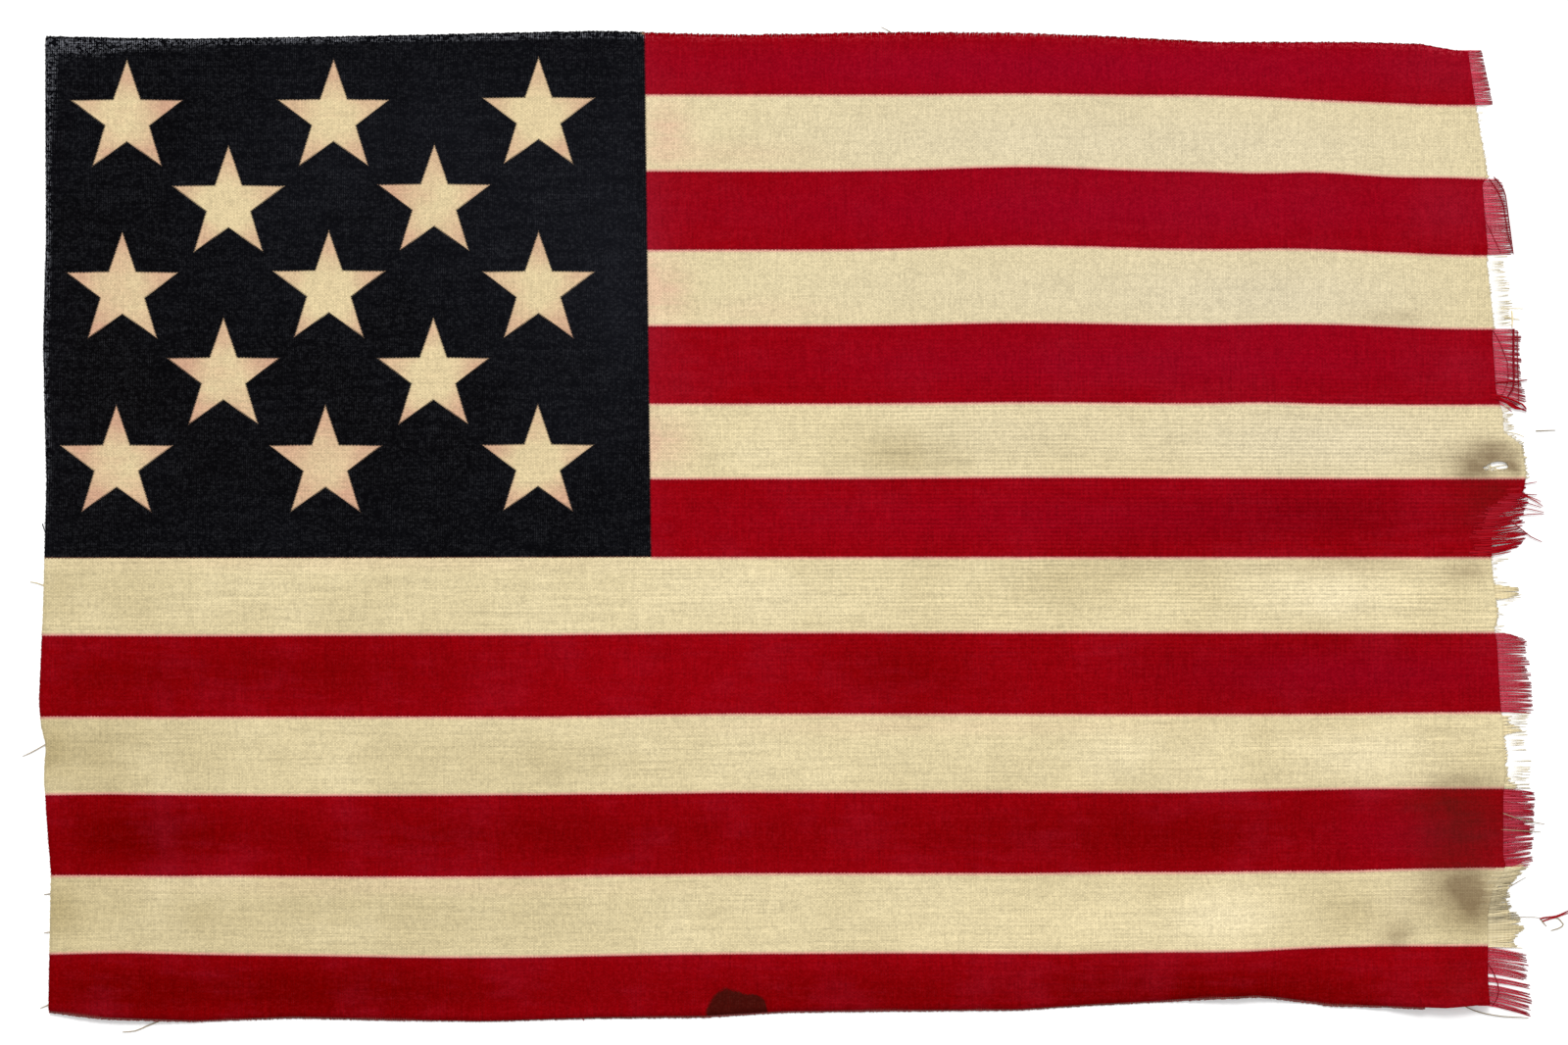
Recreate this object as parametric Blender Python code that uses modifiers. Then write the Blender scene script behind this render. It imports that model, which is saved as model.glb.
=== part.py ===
"""A worn flag of thirteen stripes and a canton, printed on coarse open bunting and lying flat.

The cloth is one piece with raw edges. Along its torn fly edge the warp is gone, and each
stripe's loose weft threads stand out of a narrow strip of weave, parted from the cloth.

X runs along the flag from hoist to fly, Y from its bottom edge to its top edge, and Z up
from the surface it lies on. Sizes are in millimetres, and become metres in the meshes.
"""
import math
import random

import bmesh
import bpy

MM = 0.001

# Driving sizes of the cloth
HALF_LENGTH = 230.0
HALF_WIDTH = 150.0
CLOTH_THICKNESS = 1.0
PIECE_GAP = 0.35

# The raw edges wander about the cut lines: place along the edge, then the shift across it
TOP_EDGE = (
    (-229.8, 0.2), (-208.0, -0.3), (-187.0, -0.6), (-145.0, 0.0), (-103.0, 0.9), (-61.0, 1.8),
    (-19.0, 0.7), (30.0, 1.5), (65.0, 1.2), (92.0, 0.4), (128.0, -1.5), (170.0, -1.5),
    (191.0, -2.1), (201.3, -4.0),
)
BOTTOM_EDGE = (
    (208.2, 4.0), (198.0, 3.0), (164.0, 3.2), (140.0, 5.7), (116.0, 5.0), (92.0, 3.9),
    (68.0, 2.3), (20.0, 1.9), (-4.0, 1.6), (-28.0, 0.1), (-64.0, -0.2), (-94.0, -1.1),
    (-124.0, -0.8), (-154.0, -0.1), (-184.0, -1.2), (-214.0, -0.5), (-229.0, 1.2),
)
HOIST_EDGE = (
    (-142.0, 0.8), (-121.0, 1.1), (-106.0, 1.4), (-91.0, 0.2), (-76.0, -0.7), (-67.0, -0.1),
    (-60.0, -1.7), (-53.0, -2.2), (-27.0, -1.0), (14.0, 0.2), (56.0, -0.7), (89.0, 0.2),
    (130.0, 0.0),
)

# Line where the cloth is parted from the strips that hold the fringe, from top to bottom
PARTING_LINE = (
    (201.3, 146.0), (204.0, 128.0), (206.4, 105.0), (207.4, 84.0), (209.4, 60.0),
    (210.4, 42.0), (212.2, 35.0), (212.8, 29.0), (217.4, 24.5), (219.4, 20.0), (218.8, 13.0),
    (214.0, 6.5), (209.6, 1.0), (209.0, -9.0), (209.8, -30.0), (211.6, -56.0),
    (212.6, -80.0), (212.8, -100.0), (209.6, -112.0), (208.2, -128.0), (208.2, -146.0),
)

# Last whole warp end of the torn edge, as x and y from top to bottom
TORN_EDGE = (
    (205.2, 147.0), (207.6, 129.6), (207.7, 128.0), (211.4, 107.0), (209.7, 106.0),
    (211.5, 84.0), (210.9, 82.5), (213.3, 61.0), (212.7, 59.5), (213.9, 42.0),
    (215.4, 36.5), (216.0, 34.8), (216.2, 29.0), (221.6, 25.4), (223.2, 16.0),
    (222.2, 10.0), (214.4, 3.0), (212.6, -2.0), (212.7, -8.4), (212.4, -11.0),
    (213.3, -17.4), (214.4, -27.0), (213.2, -32.0), (214.2, -34.0), (215.4, -56.0),
    (216.0, -59.0), (216.9, -76.0), (216.2, -82.0), (216.2, -101.0), (217.2, -104.0),
    (213.3, -110.0), (211.5, -118.0), (211.5, -148.0),
)

# How far out the loose threads reach, as x and y from top to bottom
FRINGE_REACH = (
    (209.4, 147.0), (213.2, 129.5), (210.4, 128.0), (210.8, 119.0), (213.6, 107.5),
    (216.2, 105.0), (218.6, 90.0), (219.3, 84.0), (217.4, 82.0), (219.6, 62.0),
    (221.6, 59.0), (221.8, 45.0), (223.6, 38.5), (219.0, 36.0), (219.6, 29.5),
    (223.2, 25.0), (224.2, 15.0), (228.8, 13.0), (231.6, 8.0), (229.6, 3.0),
    (224.2, -3.0), (221.0, -8.6), (214.6, -11.0), (216.0, -16.0), (222.0, -19.0),
    (222.0, -21.5), (216.4, -24.5), (216.2, -32.0), (223.2, -34.0), (226.0, -56.0),
    (224.0, -59.0), (225.6, -79.0), (226.0, -84.0), (225.2, -103.0), (223.4, -105.0),
    (217.6, -110.0), (219.4, -116.0), (222.6, -122.0), (219.4, -127.0),
    (223.2, -129.5), (225.4, -146.0),
)

# Lines between the stripes where they meet the fly, from the top edge to the bottom edge
STRIPE_LINES = (
    145.8, 128.9, 106.4, 83.2, 60.5, 37.4, 14.6, -9.2, -32.4, -56.7, -80.0, -104.6, -128.6, -146.6,
)

# Loose threads in the fringe, by the two colours of the stripes
RED_PITCH = 1.2
CREAM_PITCH = 1.9
STRAND_WIDTH = 0.62
STRAND_TIP_WIDTH = 0.46
STRAND_WOBBLE = 0.10
STRAND_BEND_AT = 0.55
RED_SHORTEST = 0.78
CREAM_SHORTEST = 0.35
SHORTEST_STRAND = 0.9
FULL_STRAND = 10.0

# How a stripe's threads lie once they are FULL_STRAND long: the shift at their tips, and
# the share by which the tips draw together
STRIPE_LEAN = {
    1: (-0.8, 0.0), 3: (-0.5, 0.03), 5: (-0.4, 0.04), 7: (0.8, 0.14), 8: (-0.5, 0.12),
    9: (-0.6, 0.0), 11: (0.3, 0.06), 12: (0.6, 0.04), 13: (-0.5, 0.03),
}

# Hole worn through beside the fly edge: its middle, and its outline about that middle
HOLE_MIDDLE = (214.0, 18.8)
HOLE_OUTLINE = (
    (-3.5, 0.2), (-2.2, 1.0), (-0.4, 1.3), (1.6, 1.0), (3.4, 0.5),
    (3.1, -0.6), (1.2, -1.1), (-0.8, -1.2), (-2.6, -0.8),
)

# Soft ridges where the cloth doesn't lie flat: x, y, heading in degrees, half length,
# half width, height
RIDGES = (
    (-193.0, -84.0, 88.0, 74.0, 22.0, 2.0),
    (-209.0, -146.0, 4.0, 34.0, 19.0, 1.7),
    (-146.0, -92.0, -48.0, 38.0, 18.0, 1.3),
    (-62.0, -56.0, 47.0, 44.0, 20.0, 1.2),
    (-46.0, -96.0, -42.0, 40.0, 18.0, 1.3),
    (68.0, 104.0, 92.0, 78.0, 34.0, 2.2),
    (148.0, 92.0, 62.0, 42.0, 20.0, 1.6),
    (162.0, 41.0, 4.0, 58.0, 19.0, 1.7),
    (98.0, 6.0, -16.0, 60.0, 22.0, 1.5),
    (168.0, -22.0, -14.0, 48.0, 21.0, 1.7),
    (106.0, -72.0, -42.0, 48.0, 20.0, 2.1),
    (160.0, -72.0, 1.0, 52.0, 17.0, 2.0),
    (92.0, -126.0, 9.0, 60.0, 19.0, 1.8),
    (136.0, -134.0, 84.0, 40.0, 24.0, 2.3),
    (190.0, -142.0, 12.0, 34.0, 18.0, 2.4),
)
FLY_CALM = 26.0

# The blank is a sheet of square cells, a little larger than the cloth that is cut from it
CELL = 10.0
BLANK_MARGIN = 6.0
CUTTER_HEIGHT = 30.0
EDGE_STEPS = 2
WELD = 0.000002

SEED = 13
CLOTH_COLOUR = (0.30, 0.012, 0.018, 1.0)
RED = (0.29, 0.006, 0.012, 1.0)
CREAM = (0.74, 0.62, 0.39, 1.0)


def clear_scene():
    """Remove what the scene holds."""
    for obj in list(bpy.data.objects):
        bpy.data.objects.remove(obj, do_unlink=True)


def collection(name):
    """A new collection under the scene's own."""
    made = bpy.data.collections.new(name)
    bpy.context.scene.collection.children.link(made)
    return made


def fabric(name, colour):
    """Worn matt wool in one colour."""
    material = bpy.data.materials.new(name)
    material.use_nodes = True
    shader = material.node_tree.nodes["Principled BSDF"]
    shader.inputs["Base Color"].default_value = colour
    shader.inputs["Roughness"].default_value = 0.92
    shader.inputs["Metallic"].default_value = 0.0
    material.diffuse_color = colour
    return material


def smooth_falloff(share):
    """1 at 0, falling softly to exactly 0 at 1 and beyond."""
    if abs(share) >= 1.0:
        return 0.0
    return 0.5 + 0.5 * math.cos(math.pi * share)


def along(line, y):
    """The x of a line given from top to bottom, at height y."""
    if y >= line[0][1]:
        return line[0][0]
    for (x_high, y_high), (x_low, y_low) in zip(line, line[1:]):
        if y >= y_low:
            share = (y_high - y) / (y_high - y_low)
            return x_high + (x_low - x_high) * share
    return line[-1][0]


def lift(x, y):
    """Height of the underside above the surface, 0 where the cloth lies flat."""
    height = 0.0
    for ridge_x, ridge_y, heading, half_length, half_width, top in RIDGES:
        turn = math.radians(heading)
        ahead = (x - ridge_x) * math.cos(turn) + (y - ridge_y) * math.sin(turn)
        aside = (y - ridge_y) * math.cos(turn) - (x - ridge_x) * math.sin(turn)
        height += top * smooth_falloff(ahead / half_length) * smooth_falloff(aside / half_width)
    from_fly = along(PARTING_LINE, y) - x
    calm = min(1.0, max(0.0, from_fly / FLY_CALM))
    return height * calm * calm * (3.0 - 2.0 * calm)


def flat_outline(name, points, middle_z, height, home, round_points=()):
    """A closed flat outline of millimetre points as a 2D curve with thickness.

    The sides are straight between points, but curved at those in round_points.
    """
    curve = bpy.data.curves.new(name, "CURVE")
    curve.dimensions = "2D"
    curve.fill_mode = "BOTH"
    curve.extrude = height * MM / 2
    curve.resolution_u = EDGE_STEPS if round_points else 1
    spline = curve.splines.new("BEZIER")
    spline.bezier_points.add(len(points) - 1)
    for target, point in zip(spline.bezier_points, points):
        handle = "AUTO" if point in round_points else "VECTOR"
        target.co = (point[0] * MM, point[1] * MM, 0)
        target.handle_left_type = handle
        target.handle_right_type = handle
    spline.use_cyclic_u = True
    made = bpy.data.objects.new(name, curve)
    made.location.z = middle_z * MM
    home.objects.link(made)
    return made


def curve_to_cutter(source, home):
    """The curve's closed mesh as a cutter, in place of the curve."""
    bpy.context.view_layer.update()
    shaped = source.evaluated_get(bpy.context.evaluated_depsgraph_get())
    mesh = bpy.data.meshes.new_from_object(shaped)
    bm = bmesh.new()
    bm.from_mesh(mesh)
    bmesh.ops.remove_doubles(bm, verts=bm.verts, dist=WELD)
    bm.to_mesh(mesh)
    bm.free()
    cutter = bpy.data.objects.new(source.name + "_cutter", mesh)
    cutter.matrix_world = source.matrix_world.copy()
    home.objects.link(cutter)
    cutter.hide_render = True
    cutter.display_type = "WIRE"
    bpy.data.objects.remove(source, do_unlink=True)
    return cutter


def cloth_outline():
    """The cloth's edges as one run of points, and those of them where an edge is curved."""
    top = [(x, HALF_WIDTH + shift) for x, shift in TOP_EDGE]
    bottom = [(x, shift - HALF_WIDTH) for x, shift in BOTTOM_EDGE]
    hoist = [(shift - HALF_LENGTH, y) for y, shift in HOIST_EDGE]
    points = top + list(PARTING_LINE[1:-1]) + bottom + hoist
    return points, top[1:-1] + bottom[1:-1] + hoist


def blank_sheet(home):
    """An oversize sheet that lies in the cloth's own soft ridges."""
    width = 2 * (HALF_LENGTH + BLANK_MARGIN)
    depth = 2 * (HALF_WIDTH + BLANK_MARGIN)
    bm = bmesh.new()
    bmesh.ops.create_grid(
        bm, x_segments=round(width / CELL), y_segments=round(depth / CELL), size=0.5)
    for vert in bm.verts:
        x = vert.co.x * width
        y = vert.co.y * depth
        vert.co = (x * MM, y * MM, lift(x, y) * MM)
    mesh = bpy.data.meshes.new("flag_cloth")
    bm.to_mesh(mesh)
    bm.free()
    sheet = bpy.data.objects.new("flag_cloth", mesh)
    home.objects.link(sheet)
    solid = sheet.modifiers.new("thickness", "SOLIDIFY")
    solid.thickness = CLOTH_THICKNESS * MM
    solid.offset = 1.0
    return sheet


def cut_with(target, cutter, operation):
    """A Boolean that stays live on its object."""
    boolean = target.modifiers.new(cutter.name, "BOOLEAN")
    boolean.operation = operation
    boolean.object = cutter
    boolean.solver = "EXACT"


def make_cloth(home, cutters):
    """The printed cloth, cut to its wandering edges, with the hole worn through it."""
    cloth = blank_sheet(home)
    outline, curved = cloth_outline()
    edge = flat_outline("edge", outline, 0, CUTTER_HEIGHT, cutters, curved)
    middle_x, middle_y = HOLE_MIDDLE
    hole_points = [(middle_x + x, middle_y + y) for x, y in HOLE_OUTLINE]
    hole = flat_outline("hole", hole_points, 0, CUTTER_HEIGHT, cutters)
    cut_with(cloth, curve_to_cutter(edge, cutters), "INTERSECT")
    cut_with(cloth, curve_to_cutter(hole, cutters), "DIFFERENCE")
    cloth.data.materials.append(fabric("printed_bunting", CLOTH_COLOUR))
    return cloth


def strip_inner_edge(high, low):
    """The parting line between two heights, moved out by the gap, from bottom to top."""
    heights = [low] + [y for _, y in reversed(PARTING_LINE) if low < y < high] + [high]
    edge = []
    for y in heights:
        step = 0.5
        slope = (along(PARTING_LINE, y + step) - along(PARTING_LINE, y - step)) / (2 * step)
        edge.append((along(PARTING_LINE, y) + PIECE_GAP * math.hypot(1.0, slope), y))
    return edge


def strand(root_y, stripe, high, low, shortest, rng):
    """One loose thread, as the six points of its outline from top to bottom."""
    shift, gather = STRIPE_LEAN.get(stripe, (0.0, 0.0))
    swing = shift + ((high + low) / 2 - root_y) * gather
    root_x = along(TORN_EDGE, root_y)
    reach = along(FRINGE_REACH, root_y) - root_x
    length = max(SHORTEST_STRAND, reach * rng.uniform(shortest, 1.0))
    wobble = rng.uniform(-STRAND_WOBBLE, STRAND_WOBBLE)
    bend = length * STRAND_BEND_AT
    bend_x = root_x + bend
    bend_y = root_y + swing * (bend / FULL_STRAND) ** 2 + wobble
    tip_y = root_y + swing * (length / FULL_STRAND) ** 2
    half = STRAND_WIDTH / 2
    half_tip = STRAND_TIP_WIDTH / 2
    return [
        (along(TORN_EDGE, root_y + half), root_y + half),
        (bend_x, bend_y + half),
        (root_x + length, tip_y + half_tip),
        (root_x + length, tip_y - half_tip),
        (bend_x, bend_y - half),
        (along(TORN_EDGE, root_y - half), root_y - half),
    ]


def make_fringe(home):
    """One comb of loose threads for each stripe, on its own strip of weave."""
    rng = random.Random(SEED)
    materials = {True: fabric("red_weft", RED), False: fabric("cream_weft", CREAM)}
    combs = []
    for index, (line_above, line_below) in enumerate(zip(STRIPE_LINES, STRIPE_LINES[1:])):
        stripe = index + 1
        is_red = stripe % 2 == 1
        high = line_above - (PIECE_GAP / 2 if index else 0.0)
        low = line_below + PIECE_GAP / 2
        count = round((high - low) / (RED_PITCH if is_red else CREAM_PITCH))
        shortest = RED_SHORTEST if is_red else CREAM_SHORTEST
        pitch = (high - low) / count
        points = [(along(TORN_EDGE, high), high)]
        for number in range(count):
            root_y = high - (number + 0.5) * pitch
            points += strand(root_y, stripe, high, low, shortest, rng)
        points.append((along(TORN_EDGE, low), low))
        points += strip_inner_edge(high, low)
        comb = flat_outline(
            f"fly_fringe_{stripe:02d}", points, CLOTH_THICKNESS / 2, CLOTH_THICKNESS, home)
        comb.data.materials.append(materials[is_red])
        combs.append(comb)
    return combs


def main():
    """Build the flag's pieces."""
    clear_scene()
    flag = collection("tattered_flag")
    cutters = collection("cutters")
    make_cloth(flag, cutters)
    make_fringe(flag)


if __name__ == "__main__":
    main()
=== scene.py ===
import math
import random

import bmesh
import bpy
import numpy as np
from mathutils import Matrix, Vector, noise


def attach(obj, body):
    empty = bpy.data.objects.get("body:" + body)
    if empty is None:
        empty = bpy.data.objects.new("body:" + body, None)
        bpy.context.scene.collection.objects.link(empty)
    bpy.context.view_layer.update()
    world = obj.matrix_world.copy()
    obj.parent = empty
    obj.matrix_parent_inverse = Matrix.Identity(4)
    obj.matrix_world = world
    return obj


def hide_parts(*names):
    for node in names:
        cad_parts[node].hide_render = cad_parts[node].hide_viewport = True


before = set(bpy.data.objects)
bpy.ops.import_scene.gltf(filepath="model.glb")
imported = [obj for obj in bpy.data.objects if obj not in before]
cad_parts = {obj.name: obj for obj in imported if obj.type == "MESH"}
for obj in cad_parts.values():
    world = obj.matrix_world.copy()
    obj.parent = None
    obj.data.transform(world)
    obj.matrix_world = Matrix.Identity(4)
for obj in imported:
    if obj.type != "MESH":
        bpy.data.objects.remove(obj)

bl_info = {
    "name": "Tattered flag",
    "version": (1, 0, 0),
    "blender": (4, 5, 0),
    "location": "3D View > Sidebar > Flag",
    "description": "Printed bunting with raw edges, a torn fly edge, stains and loose threads",
    "category": "Object",
}

MM = 0.001
BODY = "root"
SEED = 11

# All places and sizes in these lists are millimetres. X runs from the hoist to the fly, Y from the bottom
# edge to the top edge, and the origin is on the surface below the middle of the cloth.
HALF_LENGTH = 230.0
HALF_WIDTH = 150.0

# The edges as the solid has them, from measures of the photograph at chosen places: (place along the edge,
# how far it stands beyond the straight line)
TOP_EDGE = (
    (-229.8, 0.2), (-208, -0.3), (-187, -0.6), (-145, 0), (-103, 0.9), (-61, 1.8), (-19, 0.7), (30, 1.5),
    (65, 1.2), (92, 0.4), (128, -1.5), (170, -1.5), (191, -2.1), (201.3, -4), (206, -4.5),
)
BOTTOM_EDGE = (
    (-229, 1.2), (-214, -0.5), (-184, -1.2), (-154, -0.1), (-124, -0.8), (-94, -1.1), (-64, -0.2),
    (-28, 0.1), (-4, 1.6), (20, 1.9), (68, 2.3), (92, 3.9), (116, 5), (140, 5.7), (164, 3.2), (198, 3),
    (208.2, 4),
)
HOIST_EDGE = (
    (-142, 0.8), (-121, 1.1), (-106, 1.4), (-91, 0.2), (-76, -0.7), (-67, -0.1), (-60, -1.7), (-53, -2.2),
    (-27, -1), (14, 0.2), (56, -0.7), (89, 0.2), (130, 0),
)
# The torn edge of the dense weave, from the top down, as (x, y)
TORN_EDGE = (
    (205.2, 147), (207.6, 129.6), (207.7, 128), (211.4, 107), (209.7, 106), (211.5, 84), (210.9, 82.5),
    (213.3, 61), (212.7, 59.5), (213.9, 42), (215.4, 36.5), (216, 34.8), (216.2, 29), (221.6, 25.4),
    (223.2, 16), (222.2, 10), (214.4, 3), (212.6, -2), (212.7, -8.4), (212.4, -11), (213.3, -17.4),
    (214.4, -27), (213.2, -32), (214.2, -34), (215.4, -56), (216, -59), (216.9, -76), (216.2, -82),
    (216.2, -101), (217.2, -104), (213.3, -110), (211.5, -118), (211.5, -148),
)
# Where the loose weft threads end, from the top down, as (x, y)
FRINGE_REACH = (
    (209.4, 147), (213.2, 129.5), (210.4, 128), (210.8, 119), (213.6, 107.5), (216.2, 105), (218.6, 90),
    (219.3, 84), (217.4, 82), (219.6, 62), (221.6, 59), (221.8, 45), (223.6, 38.5), (219, 36),
    (219.6, 29.5), (223.2, 25), (224.2, 15), (228.8, 13), (231.6, 8), (229.6, 3), (224.2, -3), (221, -8.6),
    (214.6, -11), (216, -16), (222, -19), (222, -21.5), (216.4, -24.5), (216.2, -32), (223.2, -34),
    (226, -56), (224, -59), (225.6, -79), (226, -84), (225.2, -103), (223.4, -105), (217.6, -110),
    (219.4, -116), (222.6, -122), (219.4, -127), (223.2, -129.5), (225.4, -146),
)
# The folds die out over this width towards this line, from the top down, as (x, y)
FLY_CALM = 26.0
PARTING_LINE = (
    (201.3, 146), (204, 128), (206.4, 105), (207.4, 84), (209.4, 60), (210.4, 42), (212.2, 35), (212.8, 29),
    (217.4, 24.5), (219.4, 20), (218.8, 13), (214, 6.5), (209.6, 1), (209, -9), (209.8, -30), (211.6, -56),
    (212.6, -80), (212.8, -100), (209.6, -112), (208.2, -128), (208.2, -146),
)
# Listed marks, here and below: (x, y, half length, half width, amount, and a heading in degrees
# where the mark is turned). The amount of a fold is its height.
RIDGES = (
    (-193, -84, 74, 22, 2, 88), (-209, -146, 34, 19, 1.7, 4), (-146, -92, 38, 18, 1.3, -48),
    (-62, -56, 44, 20, 1.2, 47), (-46, -96, 40, 18, 1.3, -42), (68, 104, 78, 34, 2.2, 92),
    (148, 92, 42, 20, 1.6, 62), (162, 41, 58, 19, 1.7, 4), (98, 6, 60, 22, 1.5, -16),
    (168, -22, 48, 21, 1.7, -14), (106, -72, 48, 20, 2.1, -42), (160, -72, 52, 17, 2, 1),
    (92, -126, 60, 19, 1.8, 9), (136, -134, 40, 24, 2.3, 84), (190, -142, 34, 18, 2.4, 12),
)
# Fine creases that only the look needs
CREASES = (
    (207, 12, 16, 2.2, 0.35, 8), (204, 3, 18, 2.4, 0.3, -10), (206, -106, 12, 1.8, 0.4, -6),
    (209, -112.5, 9, 1.3, 0.35, -14), (198, -92, 20, 3, 0.25, 3), (206.5, -137, 12, 1, 0.35, 80),
    (185, 24, 26, 4, 0.25, -6), (176, -112, 22, 4, 0.25, 20), (120, 118, 26, 6, 0.25, 74),
    (24, -8, 30, 7, 0.22, 78), (-110, -68, 32, 7, 0.22, 30), (60, -100, 26, 6, 0.25, -58),
    (176, -150, 16, 10, -1.2), (-39.5, -21.5, 14, 1.1, 0.3, -60), (-44, -22, 12, 1, 0.25, -78),
)
# Where the low fly corner stands clear of the surface
RAISED = ((205, -156, 25, 21, 7),)
RIPPLE_SIZE, RIPPLE_STRETCH, RIPPLE_HEIGHT, RIPPLE_LEVEL = 17.0, 1.4, 0.35, 0.25
HOLE_MIDDLE = (214.0, 18.6)
HOLE_MARGIN = 5.0
HOLE_OUTLINE = (
    (-4.2, -0.4), (-3, 0.1), (-2.2, 0.7), (-1.2, 1.1), (0.2, 1.4), (1.6, 1.4), (2.8, 1.1), (3.6, 0.4),
    (3.7, -0.3), (3, -0.9), (1.8, -1.2), (0.8, -1), (0.2, -1.6), (-0.8, -1.2), (-1.6, -1.7), (-2.4, -1.1),
    (-3.4, -1.3), (-3.8, -0.8),
)

# The print. The stripe lines at the middle of the cloth and at the fly: the first and the last of the
# middle ones lie beyond the cut edges, so the outer red stripes are narrow.
STRIPE_LINES = (156, 132.3, 108.7, 84.75, 61.4, 37.7, 14.6, -9.2, -32.5, -57.1, -81.3, -105.9, -130.7, -155)
FLY_STRIPE_LINES = (
    145.8, 128.9, 106.4, 83.2, 60.5, 37.4, 14.6, -9.2, -32.4, -56.7, -80, -104.6, -128.6, -146.6,
)
CANTON_STRIPES = 7.0
CANTON_EDGE = -46.45
WARP_SKEW = 0.0125
# The print droops at the top fly corner, rises at the low one, bulges below the second stripe and sags at
# the low hoist: how far, over which stripes and over which places along the flag
FLY_DROOP, DROOP_STRIPES, DROOP_FROM, DROOP_OVER = 3.9, 5.4, 120.0, 80.0
FLY_RISE, RISE_STRIPE, RISE_STRIPES, RISE_FROM, RISE_OVER = 2.6, 8.0, 4.2, 100.0, 85.0
BULGE, BULGE_STRIPE, BULGE_STRIPES, BULGE_MIDDLE, BULGE_OVER = 1.27, 2.6, 1.7, 72.0, 27.0
SAG, SAG_STRIPE, SAG_STRIPES, SAG_FROM, SAG_OVER = 0.95, 9.5, 1.6, -20.0, 60.0
# Marks where the cloth has pulled its print further up
PRINT_PULLS = (
    (160, 96, 26, 24, 1.3), (146, 61, 20, 9, 0.5), (182, 132, 18, 7, 0.3), (72, 134, 46, 12, -0.55),
    (105, 108, 30, 10, -0.3), (130, 133, 110, 8, -0.25), (142, 108.7, 15, 9, -0.65),
    (197, 107, 14, 10, 0.5), (186, 84, 18, 8, 0.42), (170, 61, 25, 8, 0.8), (143, 37.7, 15, 8, 0.45),
    (95, 14.6, 70, 8, 0.3), (-75, -9, 50, 8, 0.15), (-185, -32, 50, 10, -0.25), (160, -60, 30, 8, -0.35),
    (150, -57, 70, 8, -0.25), (-205, -81, 30, 8, 0.42), (-75, -81, 35, 8, 0.25), (165, -106, 26, 10, -0.6),
    (100, -106, 22, 8, 0.4), (-115, -106, 52, 8, -0.4), (182, -106, 38, 8, -0.33),
    (-100, -130, 50, 12, -0.85), (105, -130, 26, 10, 0.55), (-205, -130, 25, 12, 0.7),
    (45, -131, 58, 8, 0.3),
)
STAR_RADIUS = 17.5
STAR_WAIST = 0.398
STAR_TOP_ROW = 125.25
STAR_ROW_STEP = 26.43
STAR_FLY_COLUMN = -79.3
STAR_COLUMN_STEP = 31.5
STAR_COLUMN_SPREAD = 0.19
STAR_ROWS = ((0, 2, 4), (1, 3), (0, 2, 4), (1, 3), (0, 2, 4))
# How far each star stands off its even place, as the cloth lies: (right, up), row by row
STAR_NUDGES = (
    (0.4, -0.3), (0.6, -0.2), (0.3, 0.4), (0.5, -0.1), (0.1, 0.3), (0.5, -0.1), (-0.1, 0.3), (0.3, 0.1),
    (0.1, 0.1), (0.2, 0.1), (0.2, -0.2), (-0.4, -0.2), (0.1, 0),
)

# How deep the crossing threads are lost along each cut edge: (place, depth)
LOST_AT_TOP = (
    (-231, 0.6), (-150, 0.5), (-60, 0.6), (-40, 1), (60, 0.95), (140, 0.72), (190, 0.55), (200, 0.2),
    (206, 0.1),
)
LOST_AT_HOIST = ((-150, 0.45), (-30, 0.4), (0, 0.3), (60, 0.1), (150, 0.15))
LOST_AT_BOTTOM = (
    (-230, 1), (-215, 0.9), (-182, 0.3), (-144, 0.45), (-97, 0.1), (-40, 0.4), (60, 0.3), (109, 0.3),
    (125, 0.9), (146, 1.4), (162, 0.8), (180, 0.7), (192, 0.3), (208, 0.05),
)
# How deep the weave behind each edge has opened, so that white shows through it, painted as glints: (place,
# depth)
OPEN_AT_TOP = ((-231, 6.4), (-212, 5.4), (-198, 2.6), (-150, 1.7), (-60, 1.4), (206, 1))
OPEN_AT_HOIST = ((-150, 0.2), (60, 0.3), (95, 0.8), (128, 2.4), (150, 4))
OPEN_AT_FLY = 45.0
OPEN_BEYOND = 1.15

# Marks of wear and dirt, with painted shade at the worn hole's rim and a painted highlight on one fold among
# them
SOILED_AND_SHADED = (
    # The marks at (214.8, 20.8) and (217.6, 19) darken the upper and right rim of the worn hole: part soil,
    # part painted shade.
    (210.3, 21.3, 8.8, 4.8, 0.68), (217.6, 19, 1.8, 1.9, 0.8), (206, 20, 13, 8.5, 0.25),
    (216, 24.4, 7, 2.6, 0.5, -12), (220, 17.8, 2.2, 3.4, 0.65), (214.8, 20.8, 4.2, 1.1, 0.55),
    (206, 17, 6, 3, 0.6), (213, 10, 8, 6, 0.5), (206, 5, 9, 9, 0.3), (150, -12.5, 62, 3.4, 0.16),
    (170, -11.5, 20, 2.6, 0.3), (205, -13.5, 8, 3.6, 0.5), (204, -78.4, 15, 3.2, 0.45),
    (203, -92, 17, 12, 0.95), (196, -84, 14, 3, 0.4), (205, -111.5, 13, 9.5, 0.92, -25),
    (207, -112.5, 7, 5.5, 0.1, -20), (208, -117, 6, 6.5, 0.28), (188, -115, 16, 8, 0.2, 20),
    (184, -125, 5.4, 4, 0.62), (184, 64, 11, 3, 0.3), (203, -140, 10, 8, 0.25),
    (120, -71, 5, 12, 0.12, -38),
)
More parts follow.
